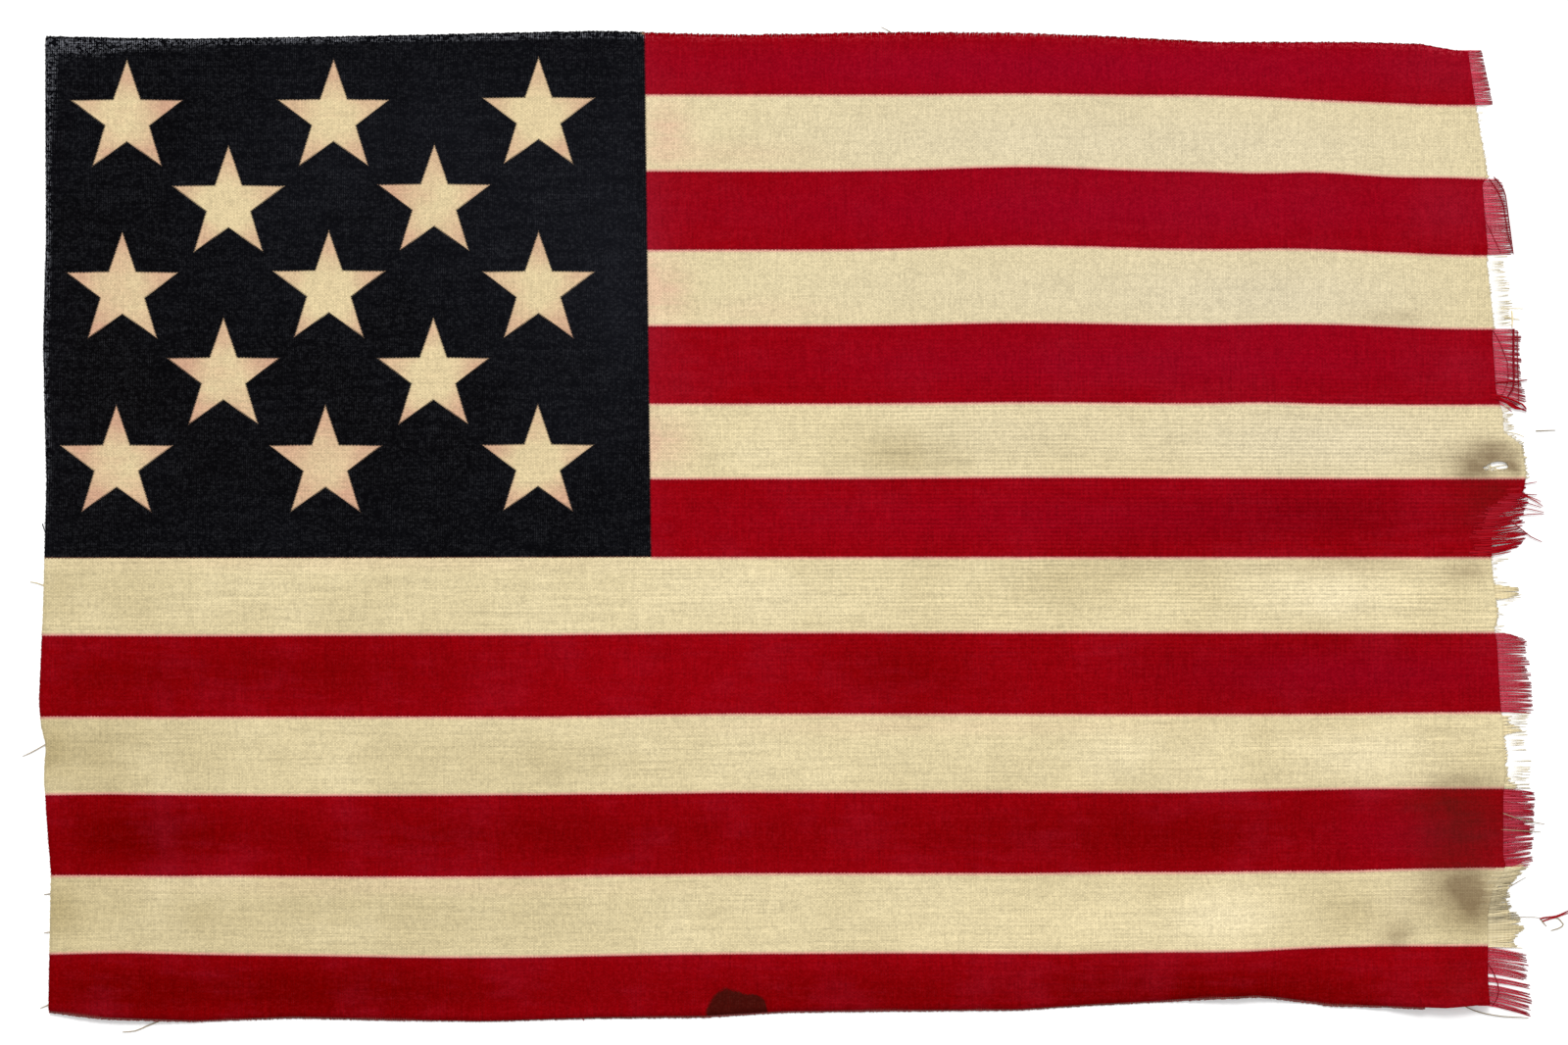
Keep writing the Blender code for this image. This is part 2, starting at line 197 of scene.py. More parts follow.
DEEPENED = (
    (-150, 30, 80, 34, 0.3), (-212, 60, 26, 80, 0.35), (-160, -45, 78, 13, 0.62), (-216, -45, 24, 12, 0.3),
    (32, -45, 27, 12, 0.55), (150, -45, 60, 12, 0.55), (-100, -94, 130, 12, 0.65), (-205, -94, 34, 12, 0.8),
    (110, -94, 90, 12, 0.6), (-150, -142, 100, 12, 1), (-214, -142, 26, 12, 0.45), (10, -143, 60, 10, 0.6),
    (130, -142, 80, 10, 0.9), (140, 3, 50, 10, 0.7), (172, 3, 24, 9, 0.3), (150, 49.5, 50, 9, 0.28),
    (36, 23, 23, 8, 0.6), (80, 23, 16, 9, 0.28), (112, 20, 9, 7, 0.25), (-226, -21, 9, 12, 0.45),
    (-200, -21, 40, 12, 0.2), (-211, -69, 27, 15, 0.5), (-229, -69, 8, 12, 0.45), (-130, -70, 90, 12, 0.25),
    (-211, -118, 25, 15, 0.3), (-227, -118, 8, 12, 0.55), (-130, -118, 90, 13, 0.45),
    (-184, -118, 14, 8, 0.2), (86, -16, 38, 9, 0.28), (160, -61.5, 40, 4, 0.25),
    (113, -69, 7, 13, 0.22, -38), (-60, -72, 26, 7, 0.2), (-125, -21, 36, 10, 0.15), (203, -71, 16, 9, 0.2),
    (205, -119.5, 13, 9, 0.62), (170, -118, 14, 9, 0.35),
)
PALED_AND_HIGHLIT = (
    (-120, 112, 62, 40, 0.35), (-70, 70, 30, 60, 0.35), (-52, 90, 14, 60, 0.35), (196, 140, 16, 10, 0.3),
    (198, 96, 14, 12, 0.3), (200, 49, 15, 12, 0.15), (116, 97, 32, 11, 0.2), (116, 50, 32, 11, 0.15),
    (161, 27, 32, 9, 0.5), (164, -21, 26, 9, 0.85), (172, -69, 22, 10, 0.55), (100, -69, 20, 9, 0.35),
    # The narrow band at (-194, -80) is a painted highlight along the crest of the low fold near the hoist.
    (-194, -80, 5, 60, 0.1), (130, -119, 20, 9, 0.55), (-10, -20, 30, 9, 0.35), (-10, 22, 22, 8, 0.2),
)
PINKED = (
    (-40, 120, 8, 11, 1), (-40, 73, 7.5, 11, 0.95), (-40, 26, 9, 10, 0.8), (-44.6, 73, 1.8, 12.5, 1.5),
    (-44.4, 26, 1.7, 11.5, 1.3), (-140, -10.8, 92, 2.2, 0.3), (-20, 114, 26, 4, 0.35),
    (-10, 66, 24, 4, 0.3), (40, -61, 70, 2.6, 0.3), (-120, -110, 80, 2.6, 0.3),
)
# Where the cream is a little less yellow, and the red a little bluer
COOLED = (
    (60, 118, 90, 16, 0.6), (150, 116, 70, 16, 0.5), (60, 72, 80, 16, 0.4), (150, 70, 60, 16, 0.75),
    (160, 26, 70, 14, 0.6), (60, 28, 40, 12, 0.3), (90, 141, 180, 9, 0.85), (100, 96.5, 150, 9, 0.7),
    (110, 49.5, 130, 9, 0.6), (90, 2.7, 130, 9, 0.4), (170, -45, 60, 9, 0.5), (190, -94, 30, 9, 0.4),
)
STAINED = ((-21, -150.5, 8.4, 12.6, 1), (-12.2, -150, 4.4, 8.4, 0.85))
# Small grey-brown spots: (x, y, radius)
SPOTS = ((130.2, -75, 1.15), (134.1, -76.2, 1.35), (131.8, -78.5, 1.05), (145.6, -71.2, 0.7))

# Colours of the dyed and bleached wool, seen in even white light
RED, RED_DEEP, RED_PALE, RED_COOL, RED_GATHERED = "#92030D", "#700000", "#A32238", "#95051F", "#5A0A1E"
CREAM, CREAM_DEEP, CREAM_PALE, CREAM_COOL = "#E0D0A5", "#B3A276", "#F0E1BA", "#DED1B1"
NAVY, NAVY_DEEP, NAVY_PALE = "#0B0B0E", "#0A0808", "#1A1B21"
STAR_WHITE, STAR_DEEP = "#E0CCA0", "#CFA488"
BLEED, BLOTCH, SOIL, STAIN = "#D58784", "#DFB79B", "#694F36", "#390805"
# Colours of the painted glints, where white shows through the open weave
PAINTED_GLINT_RED, PAINTED_GLINT_NAVY, PAINTED_GLINT_STAIN = "#C65262", "#AAACB5", "#8A6A55"
# The paler thread colours are partly dye that has lost its colour and partly painted light, the glow of thin
# lit fibres.
THREAD_PALE, CREAM_FADED_AND_LIT, TIP_GREY, CUT_GREY = "#D4566C", "#FAF7EC", "#6C2838", "#857A62"
CARD_DULL, CARD_WHITE, STUDIO_WHITE = "#FAFAFA", "#FCFCFC", "#FFFFFF"
# The studio light is this much brighter than the white that the camera keeps.
OVER_LIGHT = 1.27

# The weave: how far the upper thread of a crossing stands over the lower one, and how far a thread strays
WARP_OVER, STRAY = 0.36, 0.9
# How far one thread steps an edge of the print: in stripes, in millimetres and in star radii
STRIPE_TOOTH, CANTON_TOOTH, STAR_TOOTH = 0.0036, 0.08, 0.006
# How soft the edges of the canton and of a star are, in millimetres, in stripes and in star radii
CANTON_SIDE_SOFT, CANTON_LOW_SOFT, STAR_SOFT = 0.4, 0.014, 0.018
# The red dye: (width across a stripe as a sine, strength) of its bleed and of its gathering at the edge
BLEED_OUT, GATHER_IN = (-0.15, 0.9), (0.16, 0.20)
# Differences of tone: between warp threads and between picks, each in the cream and in the dark dyes, and
# those of the paler picks and of single crossings; and the painted light on warp that lies on top
WARP_UNEVEN, PICKS_UNEVEN = (0.075, 0.13), (0.13, 0.06)
BEAT_PALER, CROSSING_UNEVEN, WARP_LIT = 0.10, 0.13, 0.055
# Painted glints of the white seen through the open corners: where the weave is closed, what an opened edge
# adds, and in the stain
CLOSED_GLINT, OPENED_GLINT, STAIN_GLINT = 0.09, 2.6, 0.012
# How much soil the cream and the dark dyes hold, how far it dulls the dyes, and how dark a spot is
SOIL_HELD, SOIL_DULLS, SPOT_SHARE = (0.74, 0.06), 0.45, 0.45
# Where the amount of the stain begins and is full, and how deep its brown is
TIDE_LINE, TIDE_SHARE = (0.44, 0.52), 0.92

# The picks lie in pairs, as they were beaten up, and about each third one stands paler.
PICK_PAIR = 0.80
PICKS_A_BEAT = 3.17
# The slanting line between the two plies of a thread, painted as bands of light and shade and drawn as a
# bump, a little coarser than the real twist so that it shows
PLY_LINE = 1.2
# The loose picks of each stripe from the top: (share of the pairs left, thread radius, uneven length, width
# of a clump, how far a clump draws together, lean of its top and low threads, how much colour the dye has
# lost, with the painted glow of thin lit fibres)
FRINGE = (
    (1, 0.155, 0.14, 2.4, 0, 0, 0.3, 0.75), (0.5, 0.07, 1.6, 3, 0.1, 0, -0.3, 0.9),
    (1, 0.155, 0.14, 2.4, 0, 0, 0.2, 0.75), (0.75, 0.1, 1.3, 3, 0.1, 0, 0.3, 0.9),
    (1, 0.155, 0.6, 2, 0.25, 0.2, -2.2, 0.68), (1, 0.11, 1.2, 2.4, 0.25, 0, 0.5, 0.5),
    (0.05, 0.12, 4, 3, 0.4, 0.6, 1.5, 0.3), (0.6, 0.09, 1.6, 2, 0.25, 0, 0, 0.8),
    (1, 0.165, 1, 1.7, 0.12, 0, -0.4, 0.55), (0.75, 0.1, 2.2, 2.6, 0.15, 0, -0.2, 0.7),
    (1, 0.145, 1, 2.2, 0.28, -0.6, 1.2, 0.65), (1, 0.15, 0.9, 2.6, 0.3, 1.2, -0.6, 0.2),
    (0.85, 0.155, 1.1, 2, 0.3, -1.6, -3.4, 0.45),
)
# Denser mats of picks that still cling together, each with the line that it reaches, from the top down:
# (stripe, threads per millimetre, radius, lean of its top and low threads, how much colour the dye has lost,
# with the painted glow of thin lit fibres, grey soil, how far back over the weave they lie)
MATS = (
    (6, 3.4, 0.2, 0.1, 2.2, 0.05, 0, 4, (
        (224.1, 15.1), (222.9, 13.8), (223.6, 12.2), (221.8, 10.9), (224.2, 9.9), (224.2, 7.5), (223.1, 6),
        (222.9, 3.9), (221.2, 2.8), (223.2, 1.8), (221.4, -0.6), (223.8, -1.6), (223.4, -3.2),
        (221.3, -5.8), (217.9, -7.9), (214.2, -8.9))),
    (7, 3.6, 0.19, 0, 0.2, 0.05, 0.12, 0, (
        (213, -17.6), (221, -18.4), (221.6, -20), (219.5, -21.6), (214, -22.2))),
    (10, 2.6, 0.19, -0.4, 1, 0.2, 0, 0, (
        (222.5, -80.2), (223.6, -83), (225, -85.6), (225.6, -87.4), (219.5, -88.6), (222.5, -90.2),
        (224.4, -91.5), (224.6, -93.5), (218.6, -96), (220.5, -98), (223, -100.5), (222.5, -103.5),
        (221, -104.4))),
    (5, 3, 0.17, 0, 0, 0.05, 0.12, 0, (
        (221, 25.2), (223.2, 23.6), (222.4, 22.6), (223.9, 21.4), (222.8, 20.2), (224.2, 18.8),
        (223.2, 17.4), (224.4, 16.2), (223.8, 15.2))),
    (9, 3.4, 0.2, 0, 0, 0.1, 0.12, 0, (
        (219, -57.8), (218.5, -60.2), (222.2, -61.3), (222.2, -62.6), (217.4, -63.4), (217.2, -67),
        (218, -70), (217.2, -72.4), (218.2, -74), (217.4, -76), (220, -78), (221, -80))),
    (11, 4.8, 0.24, 0.9, 0.4, 0.08, 0.3, 0, (
        (222.6, -103.8), (221.5, -105.6), (220, -108), (217.8, -111), (217.2, -114), (218.2, -117.5),
        (219.2, -119.7), (222.6, -122), (222.8, -123.6), (219.5, -126), (220, -128.4))),
)

# Long threads along listed points: (radius, dye, points); a dye is (red, navy, grey soil)
RED_DYE, DARK_RED, GREY_DYE = (1.0, 0.0, 0.10), (1.0, 0.10, 0.38), (0.15, 0.20, 0.9)
CREAM_DYE, PALE_DYE, NAVY_DYE = (0.0, 0.0, 0.35), (0.0, 0.0, 0.0), (0.0, 1.0, 0.0)
TORN_WARPS = (
    # Third stripe
    (0.17, DARK_RED, (213.3, 107.1), (216.3, 103.2), (217.2, 99.3), (217.8, 94.5), (218.4, 90),
     (219.3, 83.4)),
    (0.18, DARK_RED, (211.8, 106.5), (214.5, 102.6), (216.3, 98.1), (217.5, 90), (219.3, 83.7)),
    (0.15, DARK_RED, (210.6, 93.9), (212.1, 90.9), (213.3, 88.2), (214.5, 85.8), (215.4, 83.7)),
    # Fifth stripe
    (0.36, DARK_RED, (219.3, 60.6), (219.3, 56.1), (219.3, 50.7), (219.4, 44.7), (219, 42.3), (217.5, 39.9)),
    (0.17, DARK_RED, (220.5, 60), (220.5, 53.1), (220.8, 44.1), (220.9, 40.5), (220.8, 37.8)),
    (0.16, DARK_RED, (213, 60), (214.5, 57.6), (215.7, 54.9), (216.6, 52.5), (217.5, 50.1), (217.7, 45),
     (217.2, 43.5), (216.3, 41.1), (215.4, 40.2)),
    (0.26, RED_DYE, (212.3, 43.9), (217.2, 44.4), (220.5, 44.7), (223.5, 45)),
    (0.34, RED_DYE, (211.1, 39.6), (215.1, 39), (218.1, 37.8), (220.5, 36.6), (223.2, 35.5)),
    (0.34, RED_DYE, (211.7, 40.4), (215.7, 40), (219.3, 38.7), (222, 37.5), (223.2, 36)),
    (0.32, RED_DYE, (213.1, 41), (217.5, 37.8), (219.9, 36.3), (222.6, 36.1)),
    # Thirteenth stripe
    (0.18, DARK_RED, (207.6, -128.7), (210, -131.4), (212.1, -134.4), (213.9, -138), (214.8, -141.3),
     (214.2, -144.3), (212.7, -146.7)),
    (0.2, RED_DYE, (209.7, -128.4), (210.6, -134.4), (211.2, -140.4), (212, -146)),
    # Eleventh stripe
    (0.18, DARK_RED, (214, -82.5), (215.5, -87), (219.5, -89.6)),
)
LONG_PICKS = (
    # Seventh stripe
    (0.17, DARK_RED, (214.1, 10.6), (218.1, 10.2), (222.9, 10), (226.5, 9.9)),
    (0.17, RED_DYE, (215.5, 10.2), (220.5, 9.6), (224.1, 9), (227.1, 7.2), (228.3, 6.3)),
    (0.16, RED_DYE, (215.9, 10.6), (219.9, 10.2), (224.1, 9.3), (227.7, 7.8)),
    (0.15, DARK_RED, (215.9, 8.8), (219.9, 8.1), (224.1, 7.2), (227.7, 6)),
    (0.16, RED_DYE, (214.6, 7), (219.6, 6.3), (224.7, 5.4), (228.6, 4.5)),
    (0.17, RED_DYE, (214.9, 2.6), (219.9, 3.3), (224.1, 3.9), (228.6, 4)),
    (0.18, DARK_RED, (212.7, 6.2), (215.7, 4.2), (219, 1.5), (222, -0.9), (224.7, -3), (228, -4.5)),
    (0.16, DARK_RED, (214.1, 12), (218.1, 12.3), (221.7, 13), (226.5, 13.8)),
    # Eleventh stripe
    (0.16, GREY_DYE, (212.1, -86.9), (215.1, -87.3), (219.6, -88.8), (224.1, -90), (228.9, -90.9)),
    (0.16, GREY_DYE, (213.1, -92.4), (218.1, -92.7), (222.9, -93), (227.7, -93.3)),
    # Thirteenth stripe
    (0.19, DARK_RED, (208.5, -143.6), (211.5, -145.2), (215, -146.8), (219.5, -148), (223.3, -148.8)),
    (0.17, GREY_DYE, (204.5, -146.6), (207, -147.8), (211, -148.9), (216, -149.7), (221.5, -150),
     (223.9, -150.2)),
)
CREAM_STRAYS = (
    # Twelfth stripe
    (0.11, GREY_DYE, (200.5, -107.4), (204.6, -108.6), (208.6, -109.9), (212, -110.6)),
    (0.11, GREY_DYE, (211.3, -106.1), (213.3, -107.7), (215.1, -109.5), (216.6, -111)),
    (0.11, GREY_DYE, (214.1, -112.5), (216.6, -111), (219.6, -109.2), (223.2, -107.1)),
    # Fourth stripe
    (0.22, PALE_DYE, (218.8, 66.2), (219, 63.6), (218.9, 61)),
    (0.11, PALE_DYE, (215.5, 67.1), (218.5, 67), (222.3, 66.8)),
    (0.15, PALE_DYE, (216.6, 64.2), (218.8, 63.9), (221.3, 63.4)),
    # Over the worn hole
    (0.13, CREAM_DYE, (209, 17.5), (212.1, 18), (214.2, 18.6), (217.8, 19.1)),
    (0.1, CREAM_DYE, (209.5, 17), (213.3, 17.7), (215.1, 17.6), (218.4, 18.2)),
    (0.1, PALE_DYE, (210.2, 17), (212.8, 17.1), (215.5, 17.7), (218, 18)),
    (0.11, PALE_DYE, (210.6, 18.6), (212.3, 18.5), (213.9, 18), (214.8, 16.9)),
    (0.1, CREAM_DYE, (211.6, 20.2), (212.3, 18.6), (212.3, 16.8)),
)
LOOSE_THREADS = (
    # Stray curl
    (0.24, RED_DYE, (227.4, -119.9), (228.9, -119.5), (231.6, -119.2), (233.1, -118.8), (234.3, -118.3),
     (236.1, -117.4)),
    (0.22, RED_DYE, (228.3, -120.6), (230.7, -119.8), (231.9, -119.5), (236.1, -118.1)),
    (0.17, GREY_DYE, (227.8, -120.1), (228.4, -121), (229.5, -122.2)),
    (0.17, GREY_DYE, (230.7, -119.5), (231.8, -119.6), (233.1, -119.8), (234.2, -121), (234.6, -121.5),
     (234.2, -122.2), (233.1, -122.8), (231.9, -123.2), (230.8, -123.5)),
    (0.09, GREY_DYE, (219.4, -119.3), (224.9, -119.4), (225.9, -119.4), (227.8, -119.7)),
    # Beside the sixth stripe
    (0.15, GREY_DYE, (226.2, 29.4), (229.2, 29.5), (232.2, 29.6)),
    (0.1, CREAM_DYE, (215.4, 29.4), (218.4, 28.9), (220.5, 28.5), (222.6, 27.6)),
    # Hoist edge
    (0.17, CREAM_DYE, (-226.2, -20.2), (-227.7, -19.5), (-230.4, -18), (-232.5, -17.2), (-234.6, -16.8)),
    (0.15, NAVY_DYE, (-230.9, 1), (-229.8, -2.3), (-229.7, -3.6)),
    (0.15, GREY_DYE, (-227, -65.3), (-228.9, -66), (-231.6, -67.5), (-234.3, -69), (-237, -70.2)),
    (0.16, GREY_DYE, (-226.6, -112), (-228.3, -112.2), (-230.4, -112.5)),
    (0.16, GREY_DYE, (-226.6, -123.7), (-228.3, -123.9), (-230.4, -124.2)),
    (0.17, GREY_DYE, (-226.6, -145.6), (-228.6, -146.1), (-231.6, -147.3)),
    # Bottom edge
    (0.16, GREY_DYE, (-193, -150), (-195, -151.2), (-198.9, -152.7), (-202.5, -154.2), (-206.4, -154.5)),
    (0.24, DARK_RED, (-68.3, -148.9), (-66.3, -149.7), (-65.1, -150.9)),
    # Top edge
    (0.1, GREY_DYE, (31.4, 149.6), (29.4, 151), (27.6, 152.1), (25.8, 153)),
)
# How far a loose pick starts inside the weave, how deep a cut end is buried, and how high the upper face
# of the cloth lies over its underside for a thread on it or in it
THREAD_ROOT, THREAD_BURIED, ON_CLOTH, IN_CLOTH = 3.0, 0.5, 0.35, 0.33
# The places of the two picks of a pair and of the thin one between two pairs, across the pair
PAIR = (-0.14, 0.14, 0.40)
# A broken pick is a stub of this radius and length at most. A shorter loose end than the last isn't built.
STUB_RADIUS, STUB_LENGTH, LEAST_END = 0.14, 0.7, 0.6
PICK_STEPS = 6
# A loose end thins towards its tip, and the root of a cream one is thin until it has untwisted.
TIP_THINS, CREAM_ROOT_THINS, ROOT_FILLS_FROM, ROOT_FILLS_OVER = 0.35, 0.82, 0.45, 0.35
CREAM_END_SOIL, STUB_SOIL = 0.40, 0.15
EDGE_STEP = 1.5

ATTRIBUTE, SPLIT, JOIN = "ShaderNodeAttribute", "ShaderNodeSeparateXYZ", "ShaderNodeCombineXYZ"
VECTOR, RANGE = "ShaderNodeVectorMath", "ShaderNodeMapRange"
MIX, NOISE = "ShaderNodeMix", "ShaderNodeTexNoise"
SOFT = {"interpolation_type": "SMOOTHSTEP"}


def linear(colour):
    """Turns an sRGB hex colour into the linear colour, with alpha, that a socket takes."""
    parts = [int(colour[i:i + 2], 16) / 255 for i in (1, 3, 5)]
    return tuple(p / 12.92 if p <= 0.04045 else ((p + 0.055) / 1.055) ** 2.4 for p in parts) + (1.0,)


def add(tree, kind, feeds=(), out=0, **settings):
    """Adds a node with its settings, and links, values or hex colours on its sockets. A kind in capitals is
    an operation on numbers. Gives one output, or all of them where out is None."""
    if kind.isupper():
        kind, settings["operation"] = "ShaderNodeMath", kind
    node = tree.nodes.new(kind)
    for name, value in settings.items():
        setattr(node, name, value)
    for place, feed in feeds.items() if isinstance(feeds, dict) else enumerate(feeds):
        if isinstance(feed, bpy.types.NodeSocket):
            tree.links.new(feed, node.inputs[place])
        elif feed is not None:
            is_colour = isinstance(feed, str) and feed.startswith("#")
            node.inputs[place].default_value = linear(feed) if is_colour else feed
    return node.outputs if out is None else node.outputs[out]


def summed(tree, total, *parts, clamp=False):
    """Adds parts to a total, each times its weight."""
    for part, weight in parts:
        total = add(tree, "MULTIPLY_ADD", [part, weight, total])
    total.node.use_clamp = clamp
    return total


def layered(tree, colour, *layers):
    """Lays colours over a first one, each by its own share."""
    for share, laid in layers:
        colour = add(tree, MIX, {0: share, 6: colour, 7: laid}, 2, data_type="RGBA")
    return colour


def patchy(tree, place, scale, detail, roughness=0.5, edge=0.3, clamp=False):
    """Cloudy unevenness from about -1 to 1."""
    value = add(tree, NOISE, {"Vector": place, "Scale": scale, "Detail": detail, "Roughness": roughness})
    return add(tree, RANGE, [value, edge, 1.0 - edge, -1.0, 1.0], clamp=clamp)


def along(line, at):
    """Reads a line of (place, value) pairs at any places."""
    ordered = sorted(line)
    return np.interp(at, [place for place, _ in ordered], [value for _, value in ordered])


def across(line, y):
    """Reads a line of (x, y) points: its x at any y."""
    return along([(at, x) for x, at in line], y)


def top_edge(x):
    return HALF_WIDTH + along(TOP_EDGE, x)


def bottom_edge(x):
    return along(BOTTOM_EDGE, x) - HALF_WIDTH


def hoist_edge(y):
    return along(HOIST_EDGE, y) - HALF_LENGTH


def eased(t):
    """From 0 to 1 with a soft start and end."""
    t = np.clip(t, 0.0, 1.0)
    return t * t * (3.0 - 2.0 * t)


def bell(t):
    return np.exp(-0.5 * t * t)


def soft_spot(ahead, aside):
    return np.exp(-1.3 * (ahead * ahead + aside * aside))


def round_fold(ahead, aside):
    """Highest in the middle, and level where it ends."""
    height = 1.0
    for t in (ahead, aside):
        height = height * np.where(np.abs(t) < 1.0, 0.5 + 0.5 * np.cos(np.pi * t), 0.0)
    return height


def marks_at(marks, x, y, shape=soft_spot):
    """Sum of listed marks at many places."""
    total = np.zeros(len(x))
    for middle_x, middle_y, half_length, half_width, amount, *heading in marks:
        turn = math.radians(heading[0]) if heading else 0.0
        ahead = ((x - middle_x) * math.cos(turn) + (y - middle_y) * math.sin(turn)) / half_length
        aside = ((y - middle_y) * math.cos(turn) - (x - middle_x) * math.sin(turn)) / half_width
        total += amount * shape(ahead, aside)
    return total


def lift(x, y):
    """How high the underside of the cloth stands over the surface."""
    folds = marks_at(RIDGES + CREASES, x, y, round_fold)
    return folds * eased((across(PARTING_LINE, y) - x) / FLY_CALM) + marks_at(RAISED, x, y, round_fold)


def ripple(x, y):
    """A low uneven waviness of the cloth, never below the surface."""
    places = zip(x / RIPPLE_SIZE, y / (RIPPLE_STRETCH * RIPPLE_SIZE))
    waves = [noise.noise(Vector((right, up, 0.0))) for right, up in places]
    return RIPPLE_HEIGHT * np.maximum(0.0, np.array(waves) + RIPPLE_LEVEL)


def print_shift(x, stripe):
    """How far the print has moved up or down with the pull of the cloth."""
    droop = FLY_DROOP * np.maximum(0.0, 1.0 - stripe / DROOP_STRIPES) * eased((x - DROOP_FROM) / DROOP_OVER)
    rise = FLY_RISE * np.maximum(0.0, (stripe - RISE_STRIPE) / RISE_STRIPES)
    rise = rise * eased((x - RISE_FROM) / RISE_OVER)
    bulge = BULGE * bell((stripe - BULGE_STRIPE) / BULGE_STRIPES) * bell((x - BULGE_MIDDLE) / BULGE_OVER)
    sag = SAG * bell((stripe - SAG_STRIPE) / SAG_STRIPES) * np.clip((SAG_FROM - x) / SAG_OVER, 0.0, 1.0)
    pulled = marks_at(PRINT_PULLS, x, np.interp(stripe, range(len(STRIPE_LINES)), STRIPE_LINES))
    return rise - droop + bulge - sag + pulled


def stripe_at(x, y):
    """Stripe count from the top at a place: 0 to 1 is the first red stripe, 1 to 2 the first cream one."""
    lines = [-line for line in STRIPE_LINES]
    stripe = np.interp(-y, lines, range(len(lines)))
    for _ in range(4):
        stripe = np.interp(-(y - print_shift(x, stripe)), lines, range(len(lines)))
    return stripe


def canton_distance(x, y):
    """How far a place lies past the canton's fly side, below 0 inside it."""
    return x - (CANTON_EDGE + WARP_SKEW * (HALF_WIDTH - y))


def star_middles():
    """The thirteen stars in staggered rows of three and two, which spread a little towards the bottom."""
    middles = []
    for row, columns in enumerate(STAR_ROWS):
        step = STAR_COLUMN_STEP + STAR_COLUMN_SPREAD * row
        up = STAR_TOP_ROW - STAR_ROW_STEP * row
        middles += [(STAR_FLY_COLUMN - step * (4 - column), up) for column in columns]
    return np.array(middles) + np.array(STAR_NUDGES)


def write_attribute(mesh, name, values, domain="POINT"):
    """Stores one number or one vector for each point or corner under a name that the material reads."""
    kind, field = ("FLOAT", "value") if values.ndim == 1 else ("FLOAT_VECTOR", "vector")
    mesh.attributes.new(name, kind, domain).data.foreach_set(field, values.astype(np.float32).ravel())


def write_print(mesh, look):
    """Stores on the cloth where it lies in the weave, in the print, in its nearest star and in the dirt, with
    the marks of painted shade and highlight.
    """
    points = np.array([vertex.co for vertex in mesh.vertices]) / MM
    x, y = points[:, 0], points[:, 1]
    stripe = stripe_at(x, y)
    warp = (x + WARP_SKEW * y) * MM / look.warp_pitch
    weft = (y - print_shift(x, stripe)) * MM / look.weft_pitch
    from_top = (top_edge(x) - y) / along(OPEN_AT_TOP, x)
    from_hoist = (x - hoist_edge(y)) / along(OPEN_AT_HOIST, y)
    opened = np.clip(OPEN_BEYOND - np.minimum(from_top, from_hoist), 0.0, 1.0)
    fly = np.clip(1.0 - (across(TORN_EDGE, y) - x) / OPEN_AT_FLY, 0.0, 1.0)
    for name, columns in (
            ("print", (canton_distance(x, y), stripe, fly)), ("weave", (warp, weft, opened)),
            ("wear", [marks_at(marks, x, y) for marks in (SOILED_AND_SHADED, DEEPENED, PALED_AND_HIGHLIT)]),
            ("spill", [marks_at(marks, x, y) for marks in (PINKED, STAINED, COOLED)])):
        write_attribute(mesh, name, np.column_stack(columns))
    stars = star_middles()
    corners = np.array([corner.vertex_index for corner in mesh.loops])
    totals = np.array([face.loop_total for face in mesh.polygons])
    middles = np.array([face.center for face in mesh.polygons])[:, :2] / MM
    nearest = np.argmin(np.linalg.norm(middles[:, None] - stars[None], axis=2), axis=1)
    local = (points[corners, :2] - stars[np.repeat(nearest, totals)]) / STAR_RADIUS
    write_attribute(mesh, "star", np.column_stack([local, np.zeros(len(local))]), "CORNER")


def plain_mesh(piece, tree=None, values=()):
    """Runs a Geometry Nodes tree, or the modifiers that are on the piece, and keeps the result as mesh."""
    if tree:
        modifier = piece.modifiers.new(tree.name, "NODES")
        modifier.node_group = tree
        for socket in tree.interface.items_tree:
            if socket.in_out == "INPUT" and socket.name in values:
                modifier[socket.identifier] = values[socket.name]
    graph = bpy.context.evaluated_depsgraph_get()
    graph.update()
    made = bpy.data.meshes.new_from_object(
        piece.evaluated_get(graph), preserve_all_data_layers=True, depsgraph=graph)
    made.name = piece.name
    piece.modifiers.clear()
    piece.data = made
    return piece


def new_piece(name, mesh):
    piece = bpy.data.objects.new(name, mesh)
    bpy.context.scene.collection.objects.link(piece)
    return piece


def settle(piece, slot, *nodes):
    """Gives a finished piece its body and hides the imported parts that it stands for. The slot is not used.
    """
    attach(piece, BODY)
    if nodes:
        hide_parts(*nodes)


def lay_out_grid(bm):
    """Fits a plain grid between the cloth's four uneven edges."""
    share = np.array([vertex.co[:2] for vertex in bm.verts]) * 0.5 + 0.5
    near_fly, weave_share = 200.0, 0.9
    x = -HALF_LENGTH + 2.0 * HALF_LENGTH * share[:, 0]
    y = -HALF_WIDTH + 2.0 * HALF_WIDTH * share[:, 1]
    for _ in range(6):
        low = bottom_edge(x) + along(LOST_AT_BOTTOM, x)
        high = top_edge(x) - along(LOST_AT_TOP, x)
        y = low + (high - low) * share[:, 1]
        hoist = hoist_edge(y) + along(LOST_AT_HOIST, y)
        body = hoist + (near_fly - hoist) * np.minimum(1.0, share[:, 0] / weave_share)
        torn_share = np.maximum(0.0, share[:, 0] - weave_share) / (1.0 - weave_share)
        x = body + (across(TORN_EDGE, y) - near_fly) * torn_share
    for vertex, place_x, place_y in zip(bm.verts, x, y):
        vertex.co = (place_x * MM, place_y * MM, 0.0)


def hole_sides():
    return zip(HOLE_OUTLINE, HOLE_OUTLINE[1:] + HOLE_OUTLINE[:1])


def inside_hole(x, y):
    """True where a place, seen from the hole's middle, lies inside its outline."""
    inside = False
    for (ax, ay), (bx, by) in hole_sides():
        if (ay > y) != (by > y) and x < ax + (y - ay) * (bx - ax) / (by - ay):
            inside = not inside
    return inside


